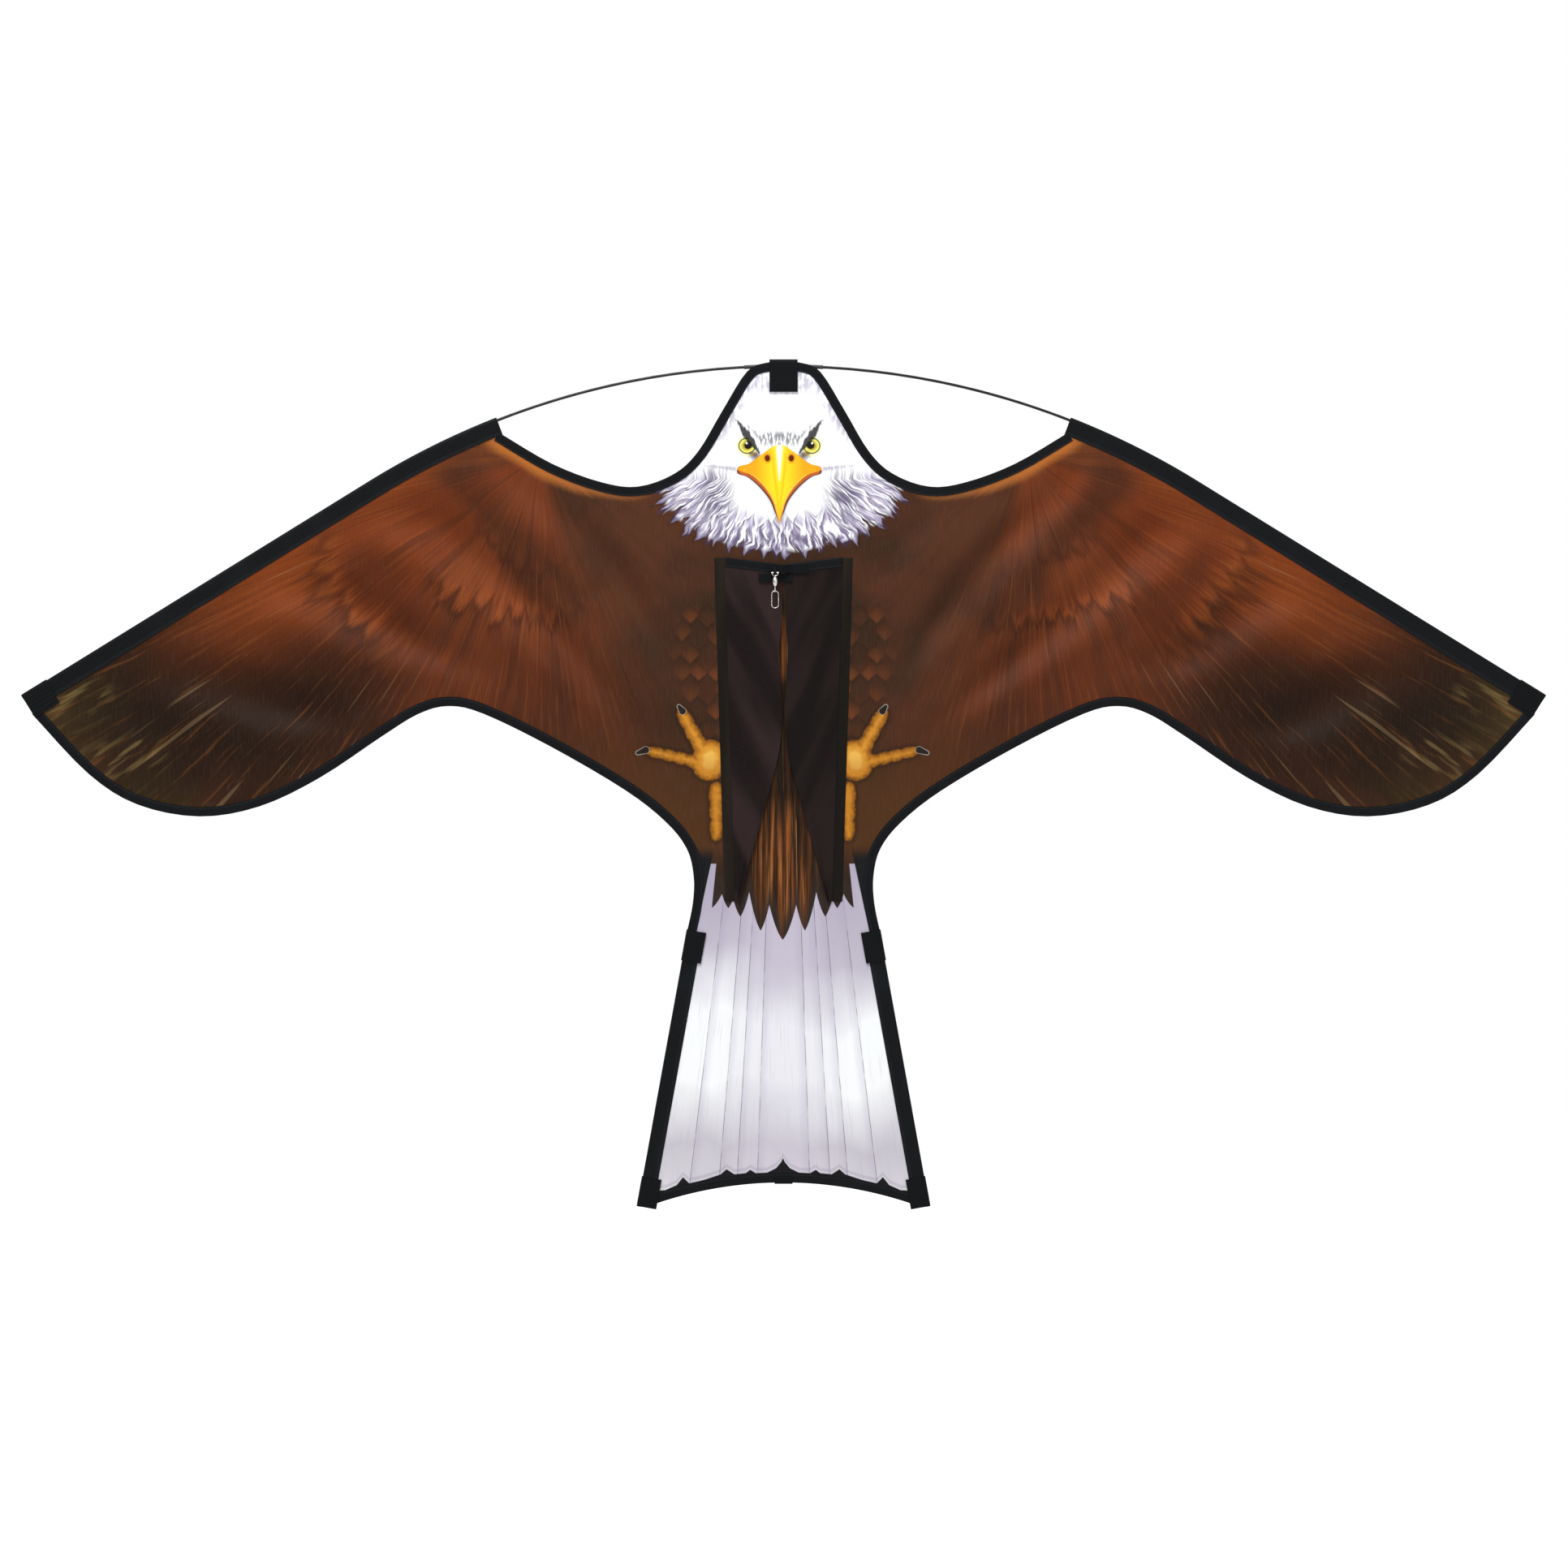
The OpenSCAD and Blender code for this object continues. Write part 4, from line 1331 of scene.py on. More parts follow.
    @staticmethod
    def dress(piece: Piece, node: str, body: str, slot: Slot,
              *finishes: Material) -> Piece:
        """Gives a piece its finish and its body, in place of a solid.

        Args:
            piece: the finished mesh.
            node: the solid that it stands for.
            body: the body that it rides on.
            slot: its material slot in the record; not used.
            finishes: its materials, if it has none yet.

        Returns:
            The piece.
        """
        for finish in finishes:
            piece.data.materials.append(finish)
        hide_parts(node)
        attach(piece, body)
        LOG.info("%s: %d points", piece.name, len(piece.data.vertices))
        return piece


@dataclass(frozen=True)
class Roll:
    """Tape or webbing off one roll: how its pieces' names start, and what they share."""

    word: str
    thickness: float
    slot: Slot
    finish: Material

    def cut(self, name: str, rail: Points, side: Points | Sequence[float],
            profile: Points | Sequence[Sequence[float]]) -> Piece:
        """Wraps a piece along a line, without thickness, as Bench.swept does."""
        return Bench.swept(f"{self.word}_{name}", rail, side, np.asarray(profile))

    def sew(self, piece: Piece, node: str, body: str = "kite") -> Piece:
        """Thickens a piece and dresses it.

        Args:
            piece: open cloth.
            node: the solid that it stands for.
            body: the body that it rides on.

        Returns:
            The piece.
        """
        Bench.thicken(piece, self.thickness)
        return Bench.dress(piece, node, body, self.slot, self.finish)


@dataclass(frozen=True)
class Plan:
    """Sizes of the sail and its tapes, in millimetres from the top of the spar."""

    half_span: float = 675.0
    tail_foot_drop: float = 744.0
    foot_mid_drop: float = 723.0
    foot_rise: float = 19.5
    tail_top_drop: float = 498.6
    tail_top_half: float = 85.0
    tail_foot_half: float = 129.5
    neck_drop: float = 106.8
    wing_end_w: float = 20.5
    bow_r: float = 695.0
    bow_angle: float = math.radians(31.7)
    shoulder_angle: float = math.radians(21.4)
    tape_t: float = 0.4
    webbing_t: float = 0.8
    fit: float = 0.05
    gap: float = 0.3
    slot_half: float = 0.2
    binding_w: float = 8.3
    wing_sleeve_w: float = 16.5
    tail_sleeve_w: float = 14.0
    cap_r: float = 1.78
    room: float = 0.15
    cut_in: float = 2.5
    cut_short: float = 1.1
    cut_up: float = 0.45

    @property
    def rod_y(self) -> float:
        """Depth of the rods' axis behind the sail."""
        return self.slot_half + self.tape_t + 2 * self.fit + self.cap_r

    @property
    def tunnel_back(self) -> float:
        """Depth of the inside of a sleeve behind the sail."""
        return self.rod_y + self.cap_r + self.room

    @property
    def sleeve_r(self) -> float:
        """Reach of a sleeve outside its rod's axis."""
        return (self.tunnel_back + self.slot_half) / 2 + self.tape_t

    @property
    def bow_end(self) -> Points:
        """Where the bow runs out straight."""
        return self.bow_r * np.array([math.sin(self.bow_angle), math.cos(self.bow_angle) - 1])

    @property
    def wing_len(self) -> float:
        """Length of a wing's straight leading edge."""
        reach = self.half_span - self.bow_end[0] - self.sleeve_r * math.sin(self.bow_angle)
        return reach / math.cos(self.bow_angle)

    @property
    def tail_run(self) -> tuple[float, float]:
        """How far the tail sleeves run out and down."""
        return self.tail_foot_half - self.tail_top_half, self.tail_foot_drop - self.tail_top_drop

    @property
    def tail_lean(self) -> float:
        """Lean of the tail sleeves, in radians."""
        return math.atan2(*self.tail_run)

    @property
    def tail_len(self) -> float:
        """Length of the tail sleeves."""
        return math.hypot(*self.tail_run)

    @property
    def foot_r(self) -> float:
        """Radius of the tail's arched foot."""
        half = self.tail_foot_half - self.tail_sleeve_w
        return (half * half + self.foot_rise * self.foot_rise) / (2 * self.foot_rise)

    @property
    def foot_angle(self) -> float:
        """How far the foot's tape reaches.

        Returns:
            Half of its angle, in radians.
        """
        mean = self.foot_mid_drop + self.foot_rise / 2
        seam = self.tail_top_half + (mean - self.tail_top_drop) * math.tan(self.tail_lean)
        seam -= self.tail_sleeve_w / math.cos(self.tail_lean)
        return math.asin((seam - self.gap) / (self.foot_r + self.binding_w))

    def wing_rail(self, start: float, end: float, step: float = 3.0) -> tuple[Points, Points]:
        """The leading edge from the shoulder out.

        Args:
            start: length from the end of the bow; below zero it starts on the bow, at the shoulder.
            end: length of the far end.
            step: spacing.

        Returns:
            Points on the rod's line and unit vectors from there into the sail.
        """
        turn = np.zeros(0)
        if start < 0:
            count = int(self.bow_r * (self.bow_angle - self.shoulder_angle) / step)
            turn = np.linspace(self.shoulder_angle, self.bow_angle, count + 1)[:-1]
        bow = self.bow_r * np.stack([np.sin(turn), np.cos(turn) - 1], axis=1)
        run = np.linspace(max(start, 0.0), end, int((end - max(start, 0.0)) / step) + 2)
        along = np.array([math.cos(self.bow_angle), -math.sin(self.bow_angle)])
        line = np.concatenate([bow, self.bow_end + run[:, None] * along])
        turns = np.concatenate([turn, np.full(len(run), self.bow_angle)])
        return standing(line), standing(-np.stack([np.sin(turns), np.cos(turns)], axis=1))

    def tail_rail(self, start: float, end: float, step: float = 3.0) -> tuple[Points, Points]:
        """A tail sleeve's line from the top down.

        Args:
            start: length from the top of the sleeve.
            end: length of the far end.
            step: spacing.

        Returns:
            Points on the rod's line and unit vectors from there into the sail.
        """
        lean = self.tail_lean
        run = np.linspace(start, end, int((end - start) / step) + 2)[:, None]
        top = np.array([self.tail_top_half - self.sleeve_r * math.cos(lean),
                        -self.tail_top_drop - self.sleeve_r * math.sin(lean)])
        line = top + run * np.array([math.sin(lean), -math.cos(lean)])
        into = np.repeat([[-math.cos(lean), -math.sin(lean)]], len(run), axis=0)
        return standing(line), standing(into)

    def tunnel(self, grow: float, end: float, steps: int = 8) -> Points:
        """Section of a sleeve, across from the rod's axis and back from the sail.

        Args:
            grow: how far it lies outside the tunnel.
            end: reach into the sail.
            steps: steps of each bend.

        Returns:
            Points from the front edge round the rod to the back edge.
        """
        radius = (self.tunnel_back + self.slot_half) / 2
        middle = (self.tunnel_back - self.slot_half) / 2
        flat = self.cap_r + self.room
        points = [[u, -self.slot_half - grow] for u in np.linspace(end, 0.0, 6)]
        for turn in np.linspace(0.0, math.pi, steps + 1)[1:-1]:
            points.append([-(radius + grow) * math.sin(turn), middle - (radius + grow) * math.cos(turn)])
        points.append([0.0, self.tunnel_back + grow])
        for share in np.linspace(0.0, 1.0, steps + 1):
            rise = (self.tunnel_back - self.slot_half) * ease_down(share)
            points.append([flat + grow * share + self.tunnel_back * share, self.slot_half + grow + rise])
        points.append([(points[-1][0] + end) / 2, self.slot_half + grow])
        points.append([end, self.slot_half + grow])
        return np.array(points)

    def neck_edge(self) -> Points:
        """Edge of the head and neck.

        Returns:
            Flat points from the right shoulder over the crown to the left one.
        """
        reach = self.bow_r - (self.wing_sleeve_w - self.sleeve_r + self.gap)
        turn = self.shoulder_angle
        shoulder = np.array([reach * math.sin(turn), reach * math.cos(turn) - self.bow_r])
        shares = np.array([[0.824, 0.811], [0.651, 0.962], [0.52, 1], [0.391, 0.895], [0.305, 0.71],
                           [0.218, 0.37], [0.131, 0.047], [0.06, -0.028], [0, -0.034]])
        half = np.concatenate([[shoulder], shares * [shoulder[0], -self.neck_drop]])
        return drawn(np.concatenate([half, half[-2::-1] * [-1, 1]]), 4)

    def trailing_edge(self) -> Points:
        """Edge of the right wing.

        Returns:
            Flat points from its tip to the tail sleeve.
        """
        shares = np.array([[0.911, 0.725], [0.847, 0.779], [0.766, 0.8], [0.687, 0.782], [0.608, 0.731],
                           [0.527, 0.658], [0.479, 0.618], [0.439, 0.604], [0.393, 0.618], [0.304, 0.677],
                           [0.208, 0.753], [0.155, 0.809], [0.127, 0.857], [0.118, 0.906], [0.119, 0.953]])
        out = np.array([math.cos(self.bow_angle), -math.sin(self.bow_angle)])
        into = -np.array([math.sin(self.bow_angle), math.cos(self.bow_angle)])
        tip = self.bow_end + (self.wing_len - self.tape_t) * out + self.wing_end_w * into
        lean = self.tail_lean
        top = np.array([self.tail_top_half, -self.tail_top_drop])
        foot = top + self.gap * np.array([-math.sin(lean), math.cos(lean)])
        return drawn(np.concatenate([[tip], shares * [self.half_span, -self.tail_top_drop], [foot]]), 4)

    def foot_edge(self, reach: float = 0.0) -> Points:
        """The arched foot of the tail.

        Args:
            reach: how far up it is moved.

        Returns:
            Flat points from left to right.
        """
        turn = np.linspace(-self.foot_angle, self.foot_angle, 90)
        radius = self.foot_r + reach
        up = radius * np.cos(turn) - self.foot_r - self.foot_mid_drop
        return np.stack([radius * np.sin(turn), up], axis=1)

    def outline(self) -> Points:
        """Outline of the cut sail.

        Returns:
            Flat points once round it.
        """
        rail, into = self.wing_rail(-1.0, self.wing_len - self.cut_short)
        wing = (rail + into * self.cut_in)[:, [0, 2]]
        neck = self.neck_edge()
        crown = neck[(len(neck) - 1) // 2::-1]
        tail, inside = self.tail_rail(-self.gap, self.tail_len - self.cut_short)
        tail = (tail + inside * self.cut_in)[:, [0, 2]]
        foot = self.foot_edge(self.cut_up)
        right = np.concatenate([crown, wing, self.trailing_edge(), tail, foot[:len(foot) // 2 - 1:-1]])
        return np.concatenate([right, right[::-1] * [-1, 1]])


@dataclass(frozen=True)
class SailCloth:
    """The printed sail, one stretched sheet with soft folds in the wings."""

    plan: Plan
    cell: float = 4.0
    thickness: float = 0.3
    margin: float = 0.6
    fold: float = 7.0
    pull_from: tuple[float, float] = (-100.0, -553.0)
    pleats: float = 36.0
    body_half: float = 140.0
    head_foot: float = -178.0

    def inside(self, spots: Points) -> tuple[Points, Points, Points]:
        """Measures points against the outline.

        Args:
            spots: flat points.

        Returns:
            Whether each lies inside, its distance from the outline and the nearest point there.
        """
        line = self.plan.outline()
        gap = np.full(len(spots), 1e9)
        nearest = np.zeros_like(spots)
        odd = np.zeros(len(spots), bool)
        for a, b in zip(line, np.roll(line, -1, axis=0)):
            way = b - a
            share = np.clip(((spots - a) @ way) / max(way @ way, 1e-9), 0.0, 1.0)
            foot = a + share[:, None] * way
            far = np.linalg.norm(spots - foot, axis=1)
            nearest[far < gap] = foot[far < gap]
            gap = np.minimum(gap, far)
            if a[1] != b[1]:
                crossing = (a[1] > spots[:, 1]) != (b[1] > spots[:, 1])
                odd ^= crossing & (spots[:, 0] < (spots[:, 1] - a[1]) / (b[1] - a[1]) * way[0] + a[0])
        return odd, gap, nearest

    def relief(self, spots: Points, gap: Points) -> Points:
        """Folds of the cloth, which fade out at the tapes, the keel and the spine.

        Args:
            spots: flat points.
            gap: their distance from the outline.

        Returns:
            Depth behind the middle plane.
        """
        side, hand = np.abs(spots[:, 0]), np.sign(spots[:, 0])
        out, up = side - self.pull_from[0], spots[:, 1] - self.pull_from[1]
        run, turn = np.hypot(out, up), np.arctan2(up, out)
        phase = (turn - math.radians(45.0)) * self.pleats
        phase = phase + 0.5 * np.sin(run * 0.013 + hand) + 0.4 * hand
        reach = smooth_step(run, 290.0, 150.0) * (1 - 0.75 * smooth_step(run, 600.0, 200.0))
        pull = (np.cos(phase) + 0.3 * np.cos(2 * phase + 0.7)) * reach
        slack = np.sin(spots[:, 0] * 0.021 + spots[:, 1] * 0.034 + 0.7 * hand)
        wave = slack * np.cos(spots[:, 1] * 0.019 - side * 0.012)
        flute = 0.3 * np.sin(spots[:, 0] * 0.16) * smooth_step(-spots[:, 1], 470.0, 80.0)
        wing = smooth_step(side, 75.0, 70.0) * smooth_step(gap, 17.0, 45.0)
        tail = smooth_step(side, 12.0, 25.0) * smooth_step(gap, 12.0, 30.0)
        return self.fold * (pull * 0.75 + wave * 0.35) * wing + flute * tail

    def build(self) -> Piece:
        """Cuts the cloth out of a grid, lays its folds and prints it.

        Returns:
            The sail.
        """
        line = self.plan.outline()
        low, high = line.min(axis=0), line.max(axis=0)
        columns, rows = (int(n) + 2 for n in (high - low) / self.cell)
        piece, row, column = Bench.grid("printed_sail", rows, columns)
        spots = low + np.stack([column / (columns - 1), row / (rows - 1)], axis=1) * (high - low)
        within, gap, nearest = self.inside(spots)
        waste = ~within & (gap > 0.75 * self.cell)
        edge = ~within & ~waste & (gap > 0)
        inward = (nearest[edge] - spots[edge]) / gap[edge, None]
        spots[edge] = nearest[edge] + self.margin * inward
        points = standing(spots)
        points[:, 1] = self.relief(spots, np.where(within, gap, 0.0))
        Bench.wrap(piece, points, spots)
        self.trim(piece, waste)
        for face in Face:
            for zone in Zone:
                piece.data.materials.append(EaglePrint(face, zone).finish())
        for facet in piece.data.polygons:
            across, up = facet.center.x / MM - TOW_SIDE, facet.center.z / MM - TOW_DROP
            facet.material_index = self.zone(across, up).value
        Bench.thicken(piece, self.thickness, len(Zone))
        return Bench.dress(piece, "sail", "kite", Slot.SAIL)

    def zone(self, across: float, up: float) -> Zone:
        """Finds the part of the print at a place.

        Args:
            across: place across the sail.
            up: place up it.

        Returns:
            The part.
        """
        if abs(across) > self.body_half:
            return Zone.WING
        return Zone.HEAD if up > self.head_foot else Zone.TAIL

    def trim(self, piece: Piece, waste: Points) -> None:
        """Cuts the waste away round the outline.

        Args:
            piece: the grid.
            waste: whether each point lies outside.
        """
        Bench.pick(piece, waste)
        bpy.ops.mesh.delete(type="VERT")
        bpy.ops.object.mode_set(mode="OBJECT")


@dataclass(frozen=True)
class EdgeTapes:
    """Folded bindings and rod sleeves round the sail."""

    plan: Plan
    tape: Roll
    sleeve: Roll
    step: float = 3.0
    lip: float = 0.35
    fold_in: float = 0.2
    swell: float = 0.1

    def folded(self, name: str, edge: Points, into: int, half: float, depth: float = 0.0,
               body: str = "kite", tuck: float = 4.0) -> Piece:
        """Folds tape over an edge.

        Args:
            name: the solid that it stands for.
            edge: flat points of the fold.
            into: 1 where the cloth lies left of the edge, -1 where it lies right.
            half: depth of each leaf's middle.
            depth: depth of the cloth between the leaves.
            body: the body that it rides on.
            tuck: how far each end runs on under the next piece.

        Returns:
            The tape.
        """
        ends = left_of(edge)[[0, -1]] @ np.array([[0.0, -1.0], [1.0, 0.0]])
        tucked = np.concatenate([[edge[0] - tuck * ends[0]], edge, [edge[-1] + tuck * ends[1]]])
        line = spaced(tucked, self.step)
        leaf = np.linspace(self.plan.binding_w, half + self.lip, 6)
        swell = self.swell * np.sin(np.linspace(0.0, math.pi, 6))
        front = np.stack([leaf, depth - half - swell], axis=1)
        turn = np.linspace(-math.pi / 2, math.pi / 2, 6)[1:-1]
        fold = np.stack([half + self.fold_in - half * np.cos(turn), depth + half * np.sin(turn)], axis=1)
        back = np.stack([leaf[::-1], depth + half + swell], axis=1)
        profile = np.concatenate([front, fold, back])
        piece = self.tape.cut(name, standing(line), standing(into * left_of(line)), profile)
        return self.tape.sew(piece, name, body)

    def build(self) -> list[Piece]:
        """Makes every binding and sleeve.

        Returns:
            The tapes.
        """
        plan = self.plan
        half = plan.slot_half + plan.tape_t / 2
        made = [self.folded("head_binding", plan.neck_edge(), 1, half),
                self.folded("tail_binding", plan.foot_edge(), 1, half)]
        for hand in Side:
            edge = plan.trailing_edge() * [hand.value, 1]
            made.append(self.folded(hand.word + "_wing_binding", edge, -hand.value, half))
            wing = plan.wing_rail(-1.0, plan.wing_len - plan.webbing_t - plan.fit)
            tail = plan.tail_rail(plan.webbing_t + plan.fit, plan.tail_len - plan.webbing_t - plan.fit)
            turn = np.array([hand.value, 1, 1])
            for word, (rail, side), width in (("wing", wing, plan.wing_sleeve_w),
                                              ("tail", tail, plan.tail_sleeve_w)):
                name = f"{hand.word}_{word}_sleeve"
                section = plan.tunnel(plan.tape_t / 2, width - plan.sleeve_r)
                piece = self.sleeve.cut(name, rail * turn, side * turn, section)
                made.append(self.sleeve.sew(piece, name))
        return made


@dataclass(frozen=True)
class WebbingEnds:
    """Webbing patches over the sleeve ends, the head tab and the spine pockets."""

    plan: Plan
    webbing: Roll
    tip_len: float = 26.0
    tab_len: float = 28.0
    corner_len: float = 27.0
    patch_reach: float = 3.0
    head_w: float = 25.0
    head_drop: float = 23.0
    pocket_w: float = 16.0
    pocket_len: float = 34.0
    wall_lip: float = 0.5
    crown_share: float = 0.034

    @property
    def lie(self) -> float:
        """Depth of webbing that lies on tape."""
        return self.plan.slot_half + self.plan.tape_t + self.plan.fit + self.plan.webbing_t / 2

    def patch(self, name: str, rail: tuple[Points, Points], hand: Side, reach: float,
              far_end: bool) -> Piece:
        """Wraps webbing over the end of a sleeve and closes it.

        Args:
            name: the solid that it stands for.
            rail: the sleeve's line and its directions into the sail.
            hand: which side of the kite.
            reach: reach into the sail.
            far_end: whether the wall is at the line's far end.

        Returns:
            The patch.
        """
        turn = np.array([hand.value, 1, 1])
        grow = self.plan.tape_t + self.plan.fit + self.plan.webbing_t / 2
        section = self.plan.tunnel(grow, reach)
        piece = self.webbing.cut(name, rail[0] * turn, rail[1] * turn, section)
        wall = self.plan.cap_r + self.plan.room + self.wall_lip
        chosen = [k for k, spot in enumerate(section) if spot[0] <= wall]
        Bench.close_end(piece, len(rail[0]) - 1 if far_end else 0, len(section), chosen)
        return self.webbing.sew(piece, name)

    def head_tab(self) -> Piece:
        """Folds the head tab over the crown and the ferrule.

        Returns:
            The tab.
        """
        plan = self.plan
        back = plan.rod_y + plan.cap_r + plan.gap + plan.webbing_t / 2
        fall = plan.cap_r + plan.gap
        top = max(self.crown_share * plan.neck_drop, plan.cap_r) + fall
        path = [[-z, -self.lie] for z in np.linspace(self.head_drop, 1.0, 8)]
        for turn in np.linspace(0.0, math.pi, 11):
            depth = (back - self.lie) / 2 - (back + self.lie) / 2 * math.cos(turn)
            path.append([top - fall * (1 - math.sin(turn)), depth])
        path.append([-fall, back])
        for share in np.linspace(0.0, 1.0, 9)[1:]:
            path.append([-fall - (self.head_drop / 2 - fall) * share,
                         self.lie + (back - self.lie) * ease_down(share)])
        path += [[-z, self.lie] for z in np.linspace(self.head_drop / 2 + 2.0, self.head_drop, 5)]
        rail = even_rail(0, -self.head_w / 2, self.head_w / 2, 14)
        return self.webbing.sew(self.webbing.cut("head_tab", rail, UP, path), "head_tab")

    def channel(self, name: str, top: float, foot: float, closed_top: bool) -> Piece:
        """Makes a pocket's channel behind the sail.

        Args:
            name: the solid that it stands for.
            top: height of its upper end.
            foot: height of its lower end.
            closed_top: whether the wall is at the upper end.

        Returns:
            The channel, without thickness.
        """
        plan = self.plan
        radius = plan.cap_r + plan.room + plan.webbing_t / 2
        section = [[-self.pocket_w / 2, self.lie], [-(self.pocket_w / 2 + radius) / 2, self.lie]]
        middle = max(self.lie, plan.rod_y)
        for turn in np.linspace(0.0, math.pi, 13):
            section.append([-radius * math.cos(turn), middle + radius * math.sin(turn)])
        section += [[(self.pocket_w / 2 + radius) / 2, self.lie], [self.pocket_w / 2, self.lie]]
        rail = even_rail(2, top, foot, 14)
        piece = self.webbing.cut(name, rail, ACROSS, section)
        end = 0 if closed_top else len(rail) - 1
        Bench.close_end(piece, end, len(section), range(2, len(section) - 2))
        return piece

    def tail_pocket(self) -> Piece:
        """Makes the pocket at the foot, whose webbing wraps under the tape to the front.

        Returns:
            The pocket.
        """
        plan = self.plan
        foot = -plan.foot_mid_drop
        piece = self.channel("spine_tail_pocket", foot + self.pocket_len, foot - plan.gap, False)
        base = foot - plan.gap - plan.webbing_t / 2
        path = [[base + plan.binding_w - 1.5 - k, -self.lie] for k in np.linspace(0.0, 5.6, 5)]
        path += [[base + 0.35, -self.lie + 0.1], [base, -self.lie + 0.5]]
        reach = plan.rod_y + plan.cap_r + plan.room + plan.webbing_t
        path += [[base, y] for y in np.linspace(-self.lie + 1.2, reach, 6)]
        rail = even_rail(0, -self.pocket_w / 2, self.pocket_w / 2, 10)
        wrap = self.webbing.cut("foot_wrap", rail, UP, path)
        for part in (piece, wrap):
            Bench.thicken(part, plan.webbing_t)
        Bench.take(piece, wrap)
        bpy.ops.object.join()
        return Bench.dress(piece, "spine_tail_pocket", "kite", Slot.WEBBING, self.webbing.finish)

    def build(self) -> list[Piece]:
        """Makes every patch, tab and pocket.

        Returns:
            The pieces of webbing.
        """
        plan = self.plan
        reach = plan.tail_sleeve_w - plan.sleeve_r + self.patch_reach
        inset = plan.webbing_t / 2
        made = []
        for hand in Side:
            tip = plan.wing_rail(plan.wing_len - self.tip_len, plan.wing_len - inset, 2.0)
            made.append(self.patch(hand.word + "_wing_tip_patch", tip, hand, plan.wing_end_w, True))
            tab = plan.tail_rail(inset, self.tab_len, 2.0)
            made.append(self.patch(hand.word + "_tail_tab", tab, hand, reach, False))
            corner = plan.tail_rail(plan.tail_len - self.corner_len, plan.tail_len - inset, 2.0)
            made.append(self.patch(hand.word + "_tail_corner_patch", corner, hand, reach, True))
        made.append(self.head_tab())
        top = -self.head_drop - plan.gap - inset
        pocket = self.channel("spine_head_pocket", top, top - self.pocket_len + inset, True)
        made.append(self.webbing.sew(pocket, "spine_head_pocket"))
        made.append(self.tail_pocket())
        return made


